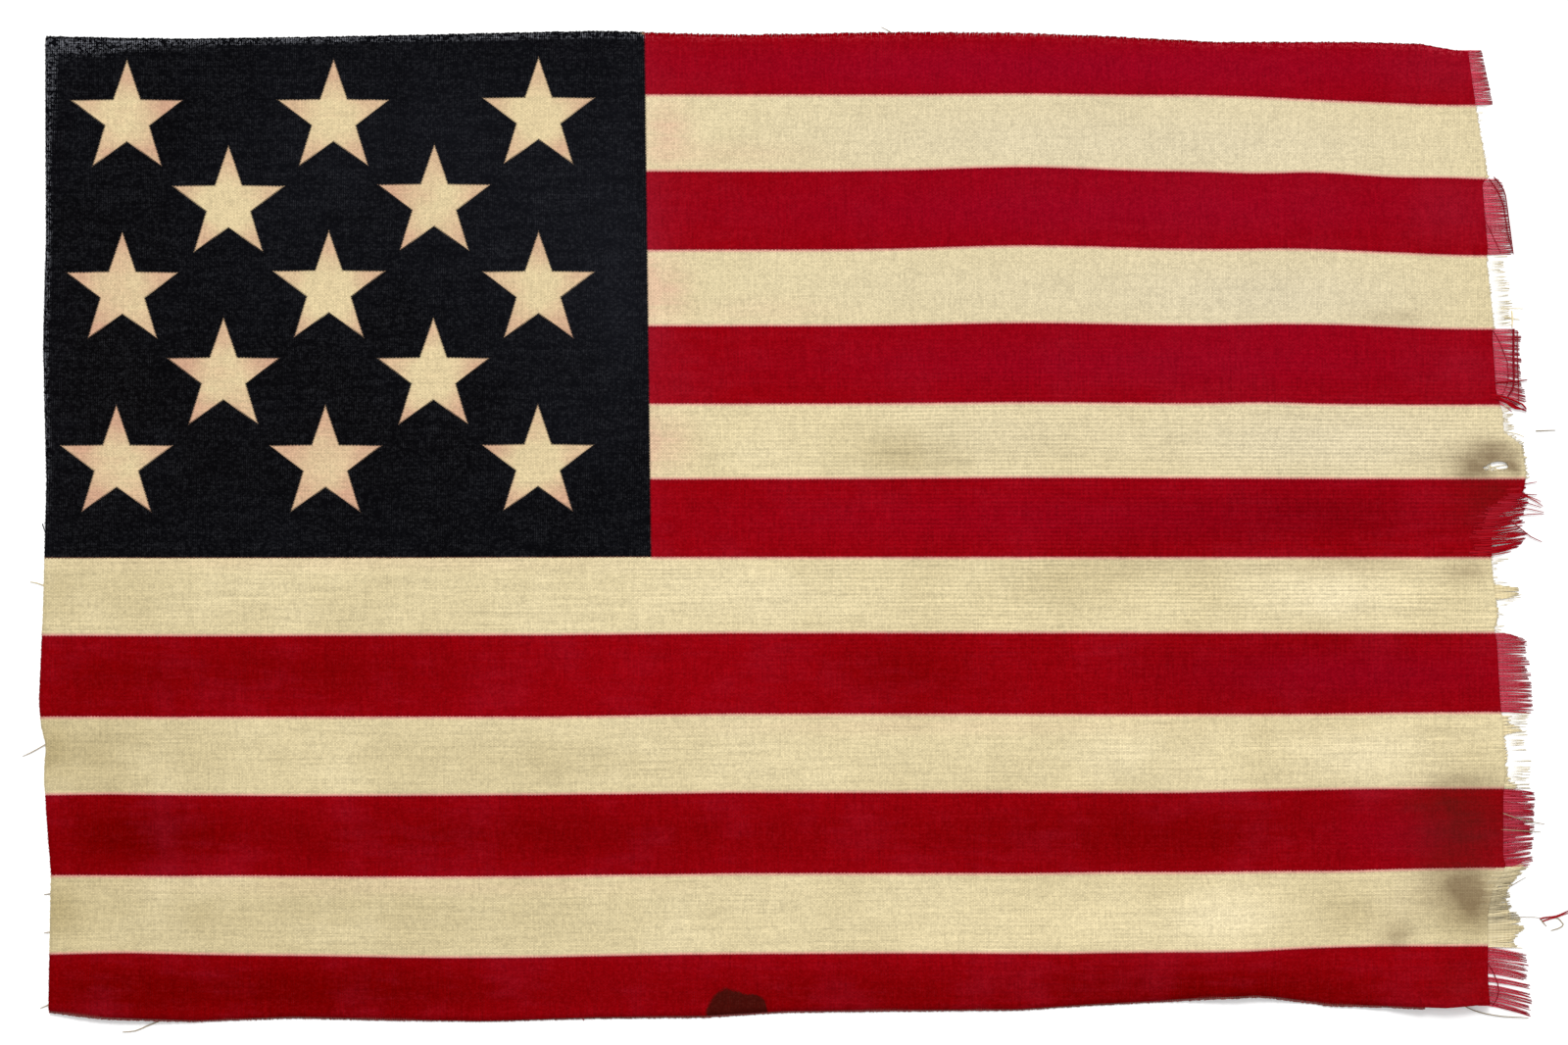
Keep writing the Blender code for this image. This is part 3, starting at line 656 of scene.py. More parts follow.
def nearest_on_hole(x, y):
    """The nearest place on the hole's outline."""
    places = []
    for (ax, ay), (bx, by) in hole_sides():
        share = ((x - ax) * (bx - ax) + (y - ay) * (by - ay)) / ((bx - ax) ** 2 + (by - ay) ** 2)
        share = min(1.0, max(0.0, share))
        places.append((ax + share * (bx - ax), ay + share * (by - ay)))
    return min(places, key=lambda place: math.hypot(place[0] - x, place[1] - y))


def wear_through(bm):
    """Opens the small worn hole: a finer mesh round it, the faces inside it out, its rim on the outline."""
    middle = Vector((*HOLE_MIDDLE, 0.0)) * MM
    around = [face for face in bm.faces if (face.calc_center_median() - middle).length < HOLE_MARGIN * MM]
    edges = list({edge for face in around for edge in face.edges})
    bmesh.ops.subdivide_edges(bm, edges=edges, cuts=3, use_grid_fill=True)
    worn = []
    for face in bm.faces:
        place = (face.calc_center_median() - middle) / MM
        if place.length < HOLE_MARGIN and inside_hole(place.x, place.y):
            worn.append(face)
    rim = {vertex for face in worn for vertex in face.verts}
    bmesh.ops.delete(bm, geom=worn, context="FACES")
    for vertex in rim:
        if vertex.is_valid:
            place = (vertex.co - middle) / MM
            near = nearest_on_hole(place.x, place.y)
            vertex.co.x, vertex.co.y = middle.x + near[0] * MM, middle.y + near[1] * MM


def weave_cloth(look):
    """The whole printed cloth as one thin sheet on its folds."""
    bm = bmesh.new()
    columns = round(2 * HALF_LENGTH * MM / look.mesh_step)
    rows = round(2 * HALF_WIDTH * MM / look.mesh_step)
    bmesh.ops.create_grid(bm, x_segments=columns, y_segments=rows, size=1.0)
    lay_out_grid(bm)
    wear_through(bm)
    mesh = bpy.data.meshes.new("printed_cloth")
    bm.to_mesh(mesh)
    bm.free()
    points = np.array([vertex.co for vertex in mesh.vertices])
    x, y = points[:, 0] / MM, points[:, 1] / MM
    points[:, 2] = (lift(x, y) + ripple(x, y) + look.clearance / MM) * MM
    mesh.vertices.foreach_set("co", points.ravel())
    cloth = new_piece("printed_cloth", mesh)
    solid = cloth.modifiers.new("thickness", "SOLIDIFY")
    solid.thickness = look.thickness
    solid.offset = 1.0
    solid.use_even_offset = False
    plain_mesh(cloth)
    cloth.data.shade_smooth()
    write_print(cloth.data, look)
    cloth.data.materials.append(printed_bunting(look))
    settle(cloth, "printed_bunting", "flag_cloth")


def blank_material(name, roughness, specular):
    """A new material with its tree and its shader, whose even values are set on its own sockets."""
    material = bpy.data.materials.new(name)
    material.use_nodes = True
    tree = material.node_tree
    shader = tree.nodes["Principled BSDF"]
    shader.inputs["Roughness"].default_value = roughness
    shader.inputs["Specular IOR Level"].default_value = specular
    return material, tree, shader


def stored(tree, *names):
    """The three parts of each stored vector."""
    return [add(tree, SPLIT, [add(tree, ATTRIBUTE, out=1, attribute_name=name)], None) for name in names]


def wander(tree, thread, run, offset):
    """Thread count of one thread that strays from its even place by a share of the thread pitch."""
    slowed = [add(tree, "MULTIPLY", [count, slow]) for count, slow in ((thread, 0.43), (run, 0.035))]
    place = add(tree, JOIN, [*slowed, offset])
    strayed = add(tree, NOISE, {"Vector": place, "Scale": 1.0, "Detail": 1.0})
    return summed(tree, add(tree, "SUBTRACT", [thread, 0.45]), (strayed, STRAY))


def weave_relief(tree, warp, weft, over):
    """Plain weave from the two thread counts: its relief, its open corners, and 1 where warp lies on top."""
    waves = [add(tree, "SINE", [add(tree, "MULTIPLY", [count, math.pi])]) for count in (warp, weft)]
    crossing = add(tree, "MULTIPLY", waves)
    gaps, heights = [], []
    for wave, rise in zip(waves, (over, -over)):
        body = add(tree, "ABSOLUTE", [wave])
        heights.append(add(tree, "MULTIPLY", [
            add(tree, "POWER", [body, 0.55]), summed(tree, 1.0 - over, (crossing, rise))]))
        gaps.append(add(tree, "SUBTRACT", [1.0, body]))
    relief = add(tree, "MAXIMUM", heights)
    opening = add(tree, RANGE, [add(tree, "MULTIPLY", gaps), 0.10, 0.60, 0.0, 1.0], **SOFT)
    return relief, opening, add(tree, RANGE, [crossing, -0.3, 0.3, -1.0, 1.0])


def thread_shade(tree, thread, run, run_scale, offset):
    """Uneven spinning and dyeing: one noise for each thread, drawn out along its run, from about -1 to 1."""
    apart = add(tree, "MULTIPLY", [add(tree, "FLOOR", [thread]), 7.31])
    place = add(tree, JOIN, [add(tree, "MULTIPLY", [run, run_scale]), apart, offset])
    return patchy(tree, place, 1.0, 2.0, 0.6, edge=0.25)


def star_mask(tree, place, ragged):
    """1 inside the five-pointed star, from the place in its own frame where its points reach 1."""
    half_point = math.radians(36)
    side_x, side_y, _ = add(tree, SPLIT, [place], None)
    folded = add(tree, "PINGPONG", [add(tree, "ARCTAN2", [side_x, side_y]), half_point])
    radius = add(tree, VECTOR, [place], 1, operation="LENGTH")
    waist_x, waist_y = STAR_WAIST * math.cos(half_point), STAR_WAIST * math.sin(half_point)
    side = math.hypot(waist_y, 1.0 - waist_x)
    line = waist_y / side
    reach = add(tree, "MULTIPLY", [add(tree, "COSINE", [folded]), line])
    reach = summed(tree, reach, (add(tree, "SINE", [folded]), (1.0 - waist_x) / side))
    uneven = summed(tree, add(tree, "MULTIPLY", [reach, radius]), (ragged, STAR_TOOTH))
    return add(tree, RANGE, [uneven, line + STAR_SOFT, line - STAR_SOFT, 0.0, 1.0], **SOFT)


def star_cream(tree, look, star_place, cloudy, streaky, deep):
    """Cream of the stars, with the dye of the field bled pink and brown into their arms."""
    radius = add(tree, VECTOR, [star_place], 1, operation="LENGTH")
    outer = add(tree, RANGE, [radius, 0.20, 0.80, 0.0, 0.65], **SOFT)
    uneven = summed(tree, outer, (cloudy, 0.40), (deep, 0.8), (streaky, 0.10), clamp=True)
    return layered(tree, look.star_hex, (uneven, STAR_DEEP))


def printed_bunting(look):
    """Worsted bunting, plain woven and roller printed: open fine threads, matt and fuzzy, with crisp
    toothed print edges, a pink bleed of the red dye into the cream, and years of soil at the fly.
    The light and shade of the weave and its glints are painted into its colour."""
    material, tree, shader = blank_material("printed_worsted_bunting", 0.93, 0.0)
    (past_canton, stripe, fly), (warp, weft, opened), (soil, deep, pale_and_highlit), (pink, stain, cool) = stored(
        tree, "print", "weave", "wear", "spill")
    star_place = add(tree, ATTRIBUTE, out=1, attribute_name="star")
    place = add(tree, "ShaderNodeTexCoord", out=3)

    strayed_warp = wander(tree, warp, weft, 0.0)
    strayed_weft = wander(tree, weft, warp, 30.0)
    relief, opening, warp_on_top = weave_relief(tree, strayed_warp, strayed_weft, WARP_OVER)
    weft_shade = thread_shade(tree, strayed_weft, warp, 0.020, 0.0)
    warp_shade = thread_shade(tree, strayed_warp, weft, 0.050, 40.0)

    # One chance for each crossing of two threads, and a drift over several millimetres
    crossed = [add(tree, "FLOOR", [count]) for count in (strayed_warp, strayed_weft)]
    crossing = add(tree, "ShaderNodeTexWhiteNoise", [add(tree, JOIN, [*crossed, 3.0])])
    crossing = add(tree, RANGE, [crossing, 0.0, 1.0, -1.0, 1.0])
    drift = patchy(tree, place, 160.0, 2.0, clamp=True)
    # Broad unevenness of the dye and the handling, over centimetres, then streaks over millimetres
    cloudy = patchy(tree, place, 34.0, 4.0, 0.6)
    stretched = add(tree, VECTOR, [place, (60.0, 420.0, 60.0)], operation="MULTIPLY")
    streaky = patchy(tree, stretched, 1.0, 3.0, 0.65)
    deep = summed(tree, deep, (cloudy, 0.14), clamp=True)
    pale_and_highlit = summed(tree, pale_and_highlit, (cloudy, -0.12), (streaky, 0.05), clamp=True)
    cool = add(tree, "MULTIPLY", [cool, 1.0], use_clamp=True)

    # The print's edges step from thread to thread. The red dye bleeds into the cream and gathers at its edge.
    ragged = summed(tree, warp_on_top, (crossing, 0.5), (drift, 0.35))
    wandering = summed(tree, stripe, (ragged, STRIPE_TOOTH))
    side = add(tree, "SINE", [add(tree, "MULTIPLY", [wandering, math.pi])])
    red = add(tree, RANGE, [side, -0.034, 0.030, 0.0, 1.0], **SOFT)
    bleed, gathered = [
        add(tree, RANGE, [side, width, 0.0, 0.0, share], **SOFT) for width, share in (BLEED_OUT, GATHER_IN)]
    inside_side, inside_low = [
        add(tree, RANGE, [past, soft, -soft, 0.0, 1.0], **SOFT) for past, soft in (
            (summed(tree, past_canton, (ragged, CANTON_TOOTH)), CANTON_SIDE_SOFT),
            (add(tree, "SUBTRACT", [wandering, CANTON_STRIPES]), CANTON_LOW_SOFT))]
    canton = add(tree, "MULTIPLY", [inside_side, inside_low])
    star = star_mask(tree, star_place, ragged)
    # No red lies beside the cream just below the canton, so nothing bleeds there.
    below = add(tree, "MULTIPLY", [inside_side, add(tree, RANGE, [stripe, 7.6, 7.3, 0.0, 1.0])])
    bleed = add(tree, "MULTIPLY", [bleed, summed(tree, 1.0, (below, -1.0))])
    pinked = add(tree, "MULTIPLY", [pink, summed(tree, 0.80, (streaky, 0.30))], use_clamp=True)
    pinked = add(tree, "MULTIPLY", [pinked, 0.75])

    cream = layered(tree, look.cream_hex, (deep, CREAM_DEEP), (pale_and_highlit, CREAM_PALE), (cool, CREAM_COOL),
                    (pinked, BLOTCH), (bleed, BLEED))
    scarlet = layered(tree, look.red_hex, (deep, RED_DEEP), (pale_and_highlit, RED_PALE), (cool, RED_COOL),
                      (gathered, RED_GATHERED))
    field = layered(tree, look.navy_hex, (deep, NAVY_DEEP), (pale_and_highlit, NAVY_PALE),
                    (star, star_cream(tree, look, star_place, cloudy, streaky, deep)))
    # The brown stain has soaked into the weave, and has a crisp tide line.
    tide = summed(tree, stain, (ragged, 0.02), (drift, 0.06))
    tide = add(tree, RANGE, [tide, *TIDE_LINE, 0.0, TIDE_SHARE], **SOFT)
    colour = layered(tree, cream, (red, scarlet), (canton, field), (tide, STAIN))

    # Red shows the warp, cream the slubs of the weft, which are strongest below the fourth stripe.
    dark_cloth = add(tree, "MAXIMUM", [red, canton])
    dark_cloth = add(tree, "SUBTRACT", [dark_cloth, add(tree, "MULTIPLY", [canton, star])], use_clamp=True)
    weft_part = summed(tree, add(tree, RANGE, [dark_cloth, 0.0, 1.0, *PICKS_UNEVEN]), (fly, 0.07))
    weft_part = add(tree, "MULTIPLY", [weft_part, add(tree, RANGE, [stripe, 3.5, 6.5, 0.45, 1.0])])
    warp_part = add(tree, RANGE, [dark_cloth, 0.0, 1.0, *WARP_UNEVEN])
    spun = add(tree, "MULTIPLY", [weft_shade, weft_part])
    # The paler picks show most between the canton and the fly in the fifth to the eighth stripe.
    beat = add(tree, "SINE", [add(tree, "MULTIPLY", [strayed_weft, 2.0 * math.pi / PICKS_A_BEAT])])
    for spread in (
            [stripe, 3.8, 5.2, 0.0, 1.0], [stripe, 8.6, 7.8, 0.3, 1.0], [past_canton, 0.0, 90.0, 0.3, 1.0]):
        beat = add(tree, "MULTIPLY", [beat, add(tree, RANGE, spread)])
    spun = summed(tree, spun, (warp_shade, warp_part), (beat, BEAT_PALER), (streaky, 0.020),
                  (crossing, CROSSING_UNEVEN), (warp_on_top, WARP_LIT))
    # Painted light and shade of the weave: the crowns of the threads lighter by their relief and the open
    # corners darker, most of all near the fly, laid with the uneven tone of the spun threads.
    body = add(tree, RANGE, [relief, 0.25, 0.95, 0.90, 1.08], clamp=False)
    body = summed(tree, body, (opening, summed(tree, -0.07, (fly, -0.06))), (spun, 1.0))
    body = add(tree, "DIVIDE", [body, OVER_LIGHT])
    colour = add(tree, VECTOR, {0: colour, 3: body}, operation="SCALE")

    # Painted glints: the white seen through the open corners of the dark weave and the highlights of its
    # fibres are painted into the colour as light specks, more so where the edge has opened.
    lit = add(tree, RANGE, [summed(tree, crossing, (streaky, 0.35)), 0.1, 1.0, 0.0, 1.5])
    glint = add(tree, "MULTIPLY", [add(tree, "MULTIPLY", [opening, dark_cloth]), lit])
    glint = add(tree, "MULTIPLY", [glint, summed(tree, CLOSED_GLINT, (opened, OPENED_GLINT))], use_clamp=True)
    through = layered(tree, PAINTED_GLINT_RED, (canton, PAINTED_GLINT_NAVY), (tide, PAINTED_GLINT_STAIN))
    colour = layered(tree, colour, (summed(tree, glint, (tide, STAIN_GLINT)), through))

    # Soil, with the painted shade at the worn hole's rim, greys the cream far more than the dark dyes, which
    # it dulls. A few spots lie on top.
    soil = add(tree, "MULTIPLY", [soil, summed(tree, 1.0, (streaky, 0.20), (drift, 0.14))], use_clamp=True)
    dulled = summed(tree, 1.0, (add(tree, "MULTIPLY", [soil, dark_cloth]), -SOIL_DULLS))
    colour = add(tree, VECTOR, {0: colour, 3: dulled}, operation="SCALE")
    dirt = tuple(part / OVER_LIGHT for part in linear(SOIL)[:3]) + (1.0,)
    soil = add(tree, "MULTIPLY", [soil, add(tree, RANGE, [dark_cloth, 0.0, 1.0, *SOIL_HELD])])
    spots = 0.0
    for spot_x, spot_y, radius in SPOTS:
        away = add(tree, VECTOR, [place, (spot_x * MM, spot_y * MM, 0.0)], 1, operation="DISTANCE")
        spot = add(tree, RANGE, [away, radius * MM * 1.5, radius * MM * 0.4, 0.0, SPOT_SHARE], **SOFT)
        spots = add(tree, "MAXIMUM", [spots, spot])
    colour = layered(tree, colour, (soil, dirt), (spots, dirt))

    tree.links.new(colour, shader.inputs["Base Color"])
    bump = add(tree, "ShaderNodeBump", {"Strength": 0.35, "Distance": 0.10 * MM, "Height": relief})
    tree.links.new(bump, shader.inputs["Normal"])
    return material


def loose_worsted(look):
    """Loose worsted thread, two plies twisted: matt, with a slanting ply line in painted light and shade,
    paler along its length for dye that has lost its colour and for the painted glow of thin lit fibres, and
    greyed and darker at its tip."""
    material, tree, shader = blank_material("loose_worsted_thread", 0.90, 0.0)
    (red, navy, soil), (share, length, fade_and_glow) = stored(tree, "dye", "run")
    chance = add(tree, ATTRIBUTE, out=2, attribute_name="chance")
    dyed = layered(tree, look.cream_hex, (red, look.red_hex))
    # Paler colour along the thread: dye that has lost its colour, and painted light for the glow of thin lit
    # fibres.
    paled_and_glowing = layered(tree, CREAM_FADED_AND_LIT, (red, THREAD_PALE))
    grey = layered(tree, CUT_GREY, (red, TIP_GREY), (navy, NAVY_DEEP))
    greyed = add(tree, "MAXIMUM", [soil, add(tree, RANGE, [share, 0.80, 1.0, 0.0, 0.60], **SOFT)])
    greyed = add(tree, "MULTIPLY", [greyed, 0.85])
    colour = layered(tree, dyed, (fade_and_glow, paled_and_glowing), (navy, look.navy_hex), (greyed, grey))
    # Painted light and shade of the ply line along the thread, with each thread's own tone by its chance
    twist = add(tree, "SINE", [add(tree, "MULTIPLY", [length, 2.0 * math.pi / PLY_LINE])])
    shade = add(tree, "DIVIDE", [summed(tree, 1.08, (chance, 0.40), (twist, 0.06)), OVER_LIGHT])
    colour = add(tree, VECTOR, {0: colour, 3: shade}, operation="SCALE")
    tree.links.new(colour, shader.inputs["Base Color"])
    bump = add(tree, "ShaderNodeBump", {"Strength": 0.4, "Distance": 0.05 * MM, "Height": twist})
    tree.links.new(bump, shader.inputs["Normal"])
    return material


def thread_material(look):
    return bpy.data.materials.get("loose_worsted_thread") or loose_worsted(look)


def tree_with_inputs(name, inputs):
    """A Geometry Nodes tree with one geometry in and out and the named inputs; gives it and its inputs."""
    tree = bpy.data.node_groups.new(name, "GeometryNodeTree")
    tree.interface.new_socket("Geometry", in_out="INPUT", socket_type="NodeSocketGeometry")
    for label, kind, value in inputs:
        socket = tree.interface.new_socket(label, in_out="INPUT", socket_type="NodeSocket" + kind)
        if value is not None:
            socket.default_value = value
    tree.interface.new_socket("Geometry", in_out="OUTPUT", socket_type="NodeSocketGeometry")
    return tree, add(tree, "NodeGroupInput", out=None)


def finish_tree(tree, geometry, material):
    """Ends a tree: smooth, realised, with its material."""
    geometry = add(tree, "GeometryNodeRealizeInstances", [geometry])
    geometry = add(tree, "GeometryNodeSetShadeSmooth", {"Geometry": geometry})
    geometry = add(tree, "GeometryNodeSetMaterial", {"Geometry": geometry, "Material": material})
    add(tree, "NodeGroupOutput", [geometry], None)
    return tree


def thread_tree():
    """Threads along guide lines: each line of points becomes a round thread of its own thickness."""
    tree, given = tree_with_inputs("threads_along_guides", (
        ("Thickness scale", "Float", 1.0), ("Sides", "Int", 5), ("Smoothness", "Int", 2),
        ("Material", "Material", None)))
    lines = add(tree, "GeometryNodeMeshToCurve", [given["Geometry"]])
    lines = add(tree, "GeometryNodeCurveSplineType", {"Curve": lines}, spline_type="CATMULL_ROM")
    lines = add(tree, "GeometryNodeSetSplineResolution", {
        "Geometry": lines, "Resolution": given["Smoothness"]})
    section = add(tree, "GeometryNodeCurvePrimitiveCircle", {"Resolution": given["Sides"], "Radius": 1.0})
    thickness = add(tree, "GeometryNodeInputNamedAttribute", ["thickness"], data_type="FLOAT")
    thickness = add(tree, "MULTIPLY", [thickness, given["Thickness scale"]])
    threads = add(tree, "GeometryNodeCurveToMesh", {
        "Curve": lines, "Profile Curve": section, "Scale": thickness, "Fill Caps": True})
    return finish_tree(tree, threads, given["Material"])


def cut_end_tree():
    """Short cut thread ends along a raw edge, one for each thread of the weave, of uneven length and turn."""
    tree, given = tree_with_inputs("cut_ends_along_edge", (
        ("Thread pitch", "Float", 0.001), ("Thickness", "Float", 0.0002), ("Uneven length", "Float", 0.25),
        ("Turn", "Float", 0.2), ("Root", "Float", 1.0), ("Tip", "Float", 0.6), ("Seed", "Int", 1),
        ("Material", "Material", None)))
    edge = add(tree, "GeometryNodeMeshToCurve", [given["Geometry"]])
    edge = add(tree, "GeometryNodeResampleCurve", {"Curve": edge, "Length": given["Thread pitch"]},
               mode="LENGTH")

    one = add(tree, "GeometryNodeCurvePrimitiveLine", {"Start": (0.0, 0.0, 0.0), "End": (0.0, 1.0, 0.0)})
    one = add(tree, "GeometryNodeResampleCurve", {"Curve": one, "Count": 4})
    share = add(tree, "GeometryNodeSplineParameter")
    run = add(tree, JOIN, [share, share, 0.0])
    one = add(tree, "GeometryNodeStoreNamedAttribute", {"Geometry": one, "Name": "run", "Value": run},
              data_type="FLOAT_VECTOR")
    taper = add(tree, RANGE, [share, 0.0, 1.0, given["Root"], given["Tip"]])
    section = add(tree, "GeometryNodeCurvePrimitiveCircle", {"Resolution": 4, "Radius": 1.0})
    one = add(tree, "GeometryNodeCurveToMesh", {
        "Curve": one, "Profile Curve": section, "Scale": taper, "Fill Caps": True})

    outward = add(tree, "GeometryNodeInputNamedAttribute", ["outward"], data_type="FLOAT_VECTOR")
    facing = add(tree, "FunctionNodeAlignRotationToVector", {"Vector": outward}, axis="Y", pivot_axis="Z")
    uneven = given["Uneven length"]
    drawn = []
    for least, most, seed in (
            (add(tree, "MULTIPLY", [given["Turn"], -1.0]), given["Turn"], given["Seed"]),
            (add(tree, "SUBTRACT", [1.0, uneven]), add(tree, "ADD", [1.0, uneven]),
             add(tree, "ADD", [given["Seed"], 1.0])), (0.0, 1.0, 7)):
        drawn.append(add(
            tree, "FunctionNodeRandomValue", {2: least, 3: most, "Seed": seed}, 1, data_type="FLOAT"))
    turn, length, chance = drawn
    turned = add(tree, "FunctionNodeEulerToRotation", [add(tree, JOIN, [0.0, 0.0, turn])])
    facing = add(tree, "FunctionNodeRotateRotation", [facing, turned], rotation_space="LOCAL")
    reach = add(tree, "GeometryNodeInputNamedAttribute", ["reach"], data_type="FLOAT")
    length = add(tree, "MULTIPLY", [length, reach])
    size = add(tree, JOIN, [given["Thickness"], length, given["Thickness"]])
    ends = add(tree, "GeometryNodeInstanceOnPoints", {
        "Points": edge, "Instance": one, "Rotation": facing, "Scale": size})
    ends = add(tree, "GeometryNodeStoreNamedAttribute", {"Geometry": ends, "Name": "chance", "Value": chance},
               data_type="FLOAT", domain="INSTANCE")
    return finish_tree(tree, ends, given["Material"])


def made_tree(name, make):
    return bpy.data.node_groups.get(name) or make()


def line_mesh(name, points, edges, attributes):
    """A mesh of guide lines, in millimetres, with the values that the trees and the material read."""
    mesh = bpy.data.meshes.new(name)
    mesh.from_pydata([[part * MM for part in point] for point in points], edges, [])
    for label, values in attributes.items():
        write_attribute(mesh, label, np.array(values, float))
    return mesh


def thread_piece(name, threads, look):
    """One piece of joined threads from (radius, dye, colour lost by the dye with its painted glow, how thin
    its root is, chance, points) each.
    """
    points, edges = [], []
    radii, dyes, runs, chances = [], [], [], []
    for radius, dye, fade_and_glow, thin, chance, line in threads:
        first = len(points)
        total = sum(math.dist(a, b) for a, b in zip(line, line[1:]))
        gone = 0.0
        for index, point in enumerate(line):
            if index:
                gone += math.dist(line[index - 1], point)
                edges.append((first + index - 1, first + index))
            share = gone / total
            points.append(point)
            filled = min(1.0, max(0.0, (share - ROOT_FILLS_FROM) / ROOT_FILLS_OVER))
            radii.append(radius * MM * (1.0 - TIP_THINS * share ** 6) * (1.0 - thin * (1.0 - filled)))
            dyes.append(dye)
            runs.append((share, gone, fade_and_glow * (1.0 - share ** 3)))
            chances.append(chance)
    attributes = {"thickness": radii, "dye": dyes, "run": runs, "chance": chances}
    piece = new_piece(name, line_mesh(name, points, edges, attributes))
    return plain_mesh(piece, made_tree("threads_along_guides", thread_tree), {
        "Sides": 5, "Smoothness": 2, "Thickness scale": look.thread_scale, "Material": thread_material(look)})


def at_place(measure, x, y):
    """One measure of the cloth at one place."""
    return float(measure(np.array([x], float), np.array([y], float))[0])


def dye_at(x, y):
    """(red, navy, soil) of the print at one place, for a thread that starts there."""
    stripe = at_place(stripe_at, x, y)
    if canton_distance(x, y) < 0.0 and stripe < CANTON_STRIPES:
        return NAVY_DYE
    return (1.0 if int(stripe) % 2 == 0 else 0.0, 0.0, 0.0)


def laid_threads(listed, dice, above=0.0):
    """Turns listed threads into guide lines that come out of the cloth and lie over the surface."""
    threads = []
    for radius, dye, *line in listed:
        laid = []
        for x, y in line:
            inside = hoist_edge(y) + 0.6 < x < across(TORN_EDGE, y)
            inside = inside and bottom_edge(x) + 0.6 < y < top_edge(x) - 0.6
            hole = math.dist((x, y), HOLE_MIDDLE) < HOLE_MARGIN
            floor = at_place(lift, x, y) + ON_CLOTH if inside and not hole else 0.08 + radius + above
            laid.append((x, y, floor + dice.uniform(0.0, 0.10)))
        threads.append((radius, dye, 0.0, 0.0, dice.random(), laid))
    return threads


def clump_middles(top, low, clump, dice):
    """Cuts one stripe into clumps: (top, low, middle, how much shorter or longer)."""
    clumps, at = [], top
    while at > low:
        width = clump * dice.uniform(0.6, 1.5)
        clumps.append((at, at - width, at - 0.5 * width + dice.uniform(-0.3, 0.3), dice.uniform(-0.7, 0.3)))
        at -= width
    return clumps


def loose_pick(y, end_y, end_x, size, thin, soil, red, fade_and_glow, dice, over=0.0):
    """One pick that leaves the weave at y, or lies over it as far back as asked, and sinks to the surface."""
    edge = float(across(TORN_EDGE, y))
    start_x = edge - THREAD_ROOT - over
    root = 0.40 if not over else at_place(lift, start_x, y) + 0.60 + 0.6 * size
    sway, phase, rise = dice.uniform(0.02, 0.14), dice.uniform(0.0, 6.3), dice.uniform(0.0, 0.25)
    line = []
    for step in range(PICK_STEPS + 1):
        x = start_x + (end_x - start_x) * step / PICK_STEPS
        out = max(0.0, (x - edge + over) / max(0.5, end_x - edge + over))
        bend = (end_y - y) * out ** 1.3 + sway * math.sin(phase + 5.0 * out) * out
        sunk = root + (size + 0.02 - root) * min(1.0, out * out * 1.6)
        line.append((x, y + bend, sunk + rise * math.sin(math.pi * out)))
    soil += 0.5 * at_place(lambda *place: marks_at(SOILED_AND_SHADED, *place), edge - 4.0, y)
    dye = (1.0 if red else 0.0, 0.0, min(1.0, soil * dice.uniform(0.5, 1.5)))
    return (size, dye, fade_and_glow * dice.uniform(0.6, 1.2), thin, dice.random(), line)


def stripe_fringe(number, dice):
    """The loose picks of one stripe in their pairs, drawn into clumps, out to the listed reach."""
    left, radius, uneven, clump, draw, lean_top, lean_low, fade_and_glow = FRINGE[number]
    top, low = FLY_STRIPE_LINES[number], FLY_STRIPE_LINES[number + 1]
    red = number % 2 == 0
    count = round((top - low) / PICK_PAIR)
    clumps = clump_middles(top, low, clump, dice)
    threads = []
    for pair in range(count):
        share = (pair + 0.5) / count
        middle = top + (low - top) * share
        home = next((c for c in clumps if c[0] >= middle > c[1]), clumps[-1])
        lean = lean_top + (lean_low - lean_top) * share + draw * (home[2] - middle)
        stays = dice.random() < left
        for aside in PAIR:
            y = middle + aside + dice.uniform(-0.05, 0.05)
            edge = float(across(TORN_EDGE, y))
            if red and not stays:
                continue
            if not red and (aside == PAIR[2] or not stays):
                end_x = edge + dice.uniform(0.0, STUB_LENGTH)
                threads.append(loose_pick(y, y, end_x, STUB_RADIUS, 0.0, STUB_SOIL, red, 0.0, dice))
                continue
            end_y = y + lean - 0.5 * aside * draw + dice.gauss(0.0, 0.10)
            reach = float(across(FRINGE_REACH, end_y)) + home[3] * uneven
            end_x = reach - dice.expovariate(1.0 / (0.35 * uneven))
            if end_x < edge + LEAST_END:
                continue
            size = (0.4 if aside == PAIR[2] else 1.0) * radius * dice.uniform(0.8, 1.15)
            thin, soil = (0.0, 0.0) if red else (CREAM_ROOT_THINS, CREAM_END_SOIL)
            threads.append(loose_pick(y, end_y, end_x, size, thin, soil, red, fade_and_glow, dice))
    return threads


def mat_of_picks(mat, dice):
    """A denser mat of picks that still cling together, ragged at the listed reach."""
    number, per_mm, radius, lean_top, lean_low, fade_and_glow, soil, back, reach = mat
    top, low = reach[0][1], reach[-1][1]
    count = round((top - low) * per_mm)
    threads = []
    for index in range(count):
        share = (index + 0.5) / count
        y = top + (low - top) * share + dice.uniform(-0.1, 0.1)
        lean = lean_top + (lean_low - lean_top) * share
        end_y = y + lean * dice.uniform(0.6, 1.2) + dice.gauss(0.0, 0.25)
        end_x = float(across(reach, end_y)) - dice.expovariate(1.0 / 0.6)
        if end_x > float(across(TORN_EDGE, y)) + 0.4:
            size = radius * dice.uniform(0.75, 1.15)
            over = dice.uniform(0.0, back) if back else 0.0
            faded_and_glowing = fade_and_glow * dice.uniform(0.0, 2.0)
            threads.append(loose_pick(y, end_y, end_x, size, 0.0, soil, number % 2 == 0, faded_and_glowing, dice, over))
    return threads


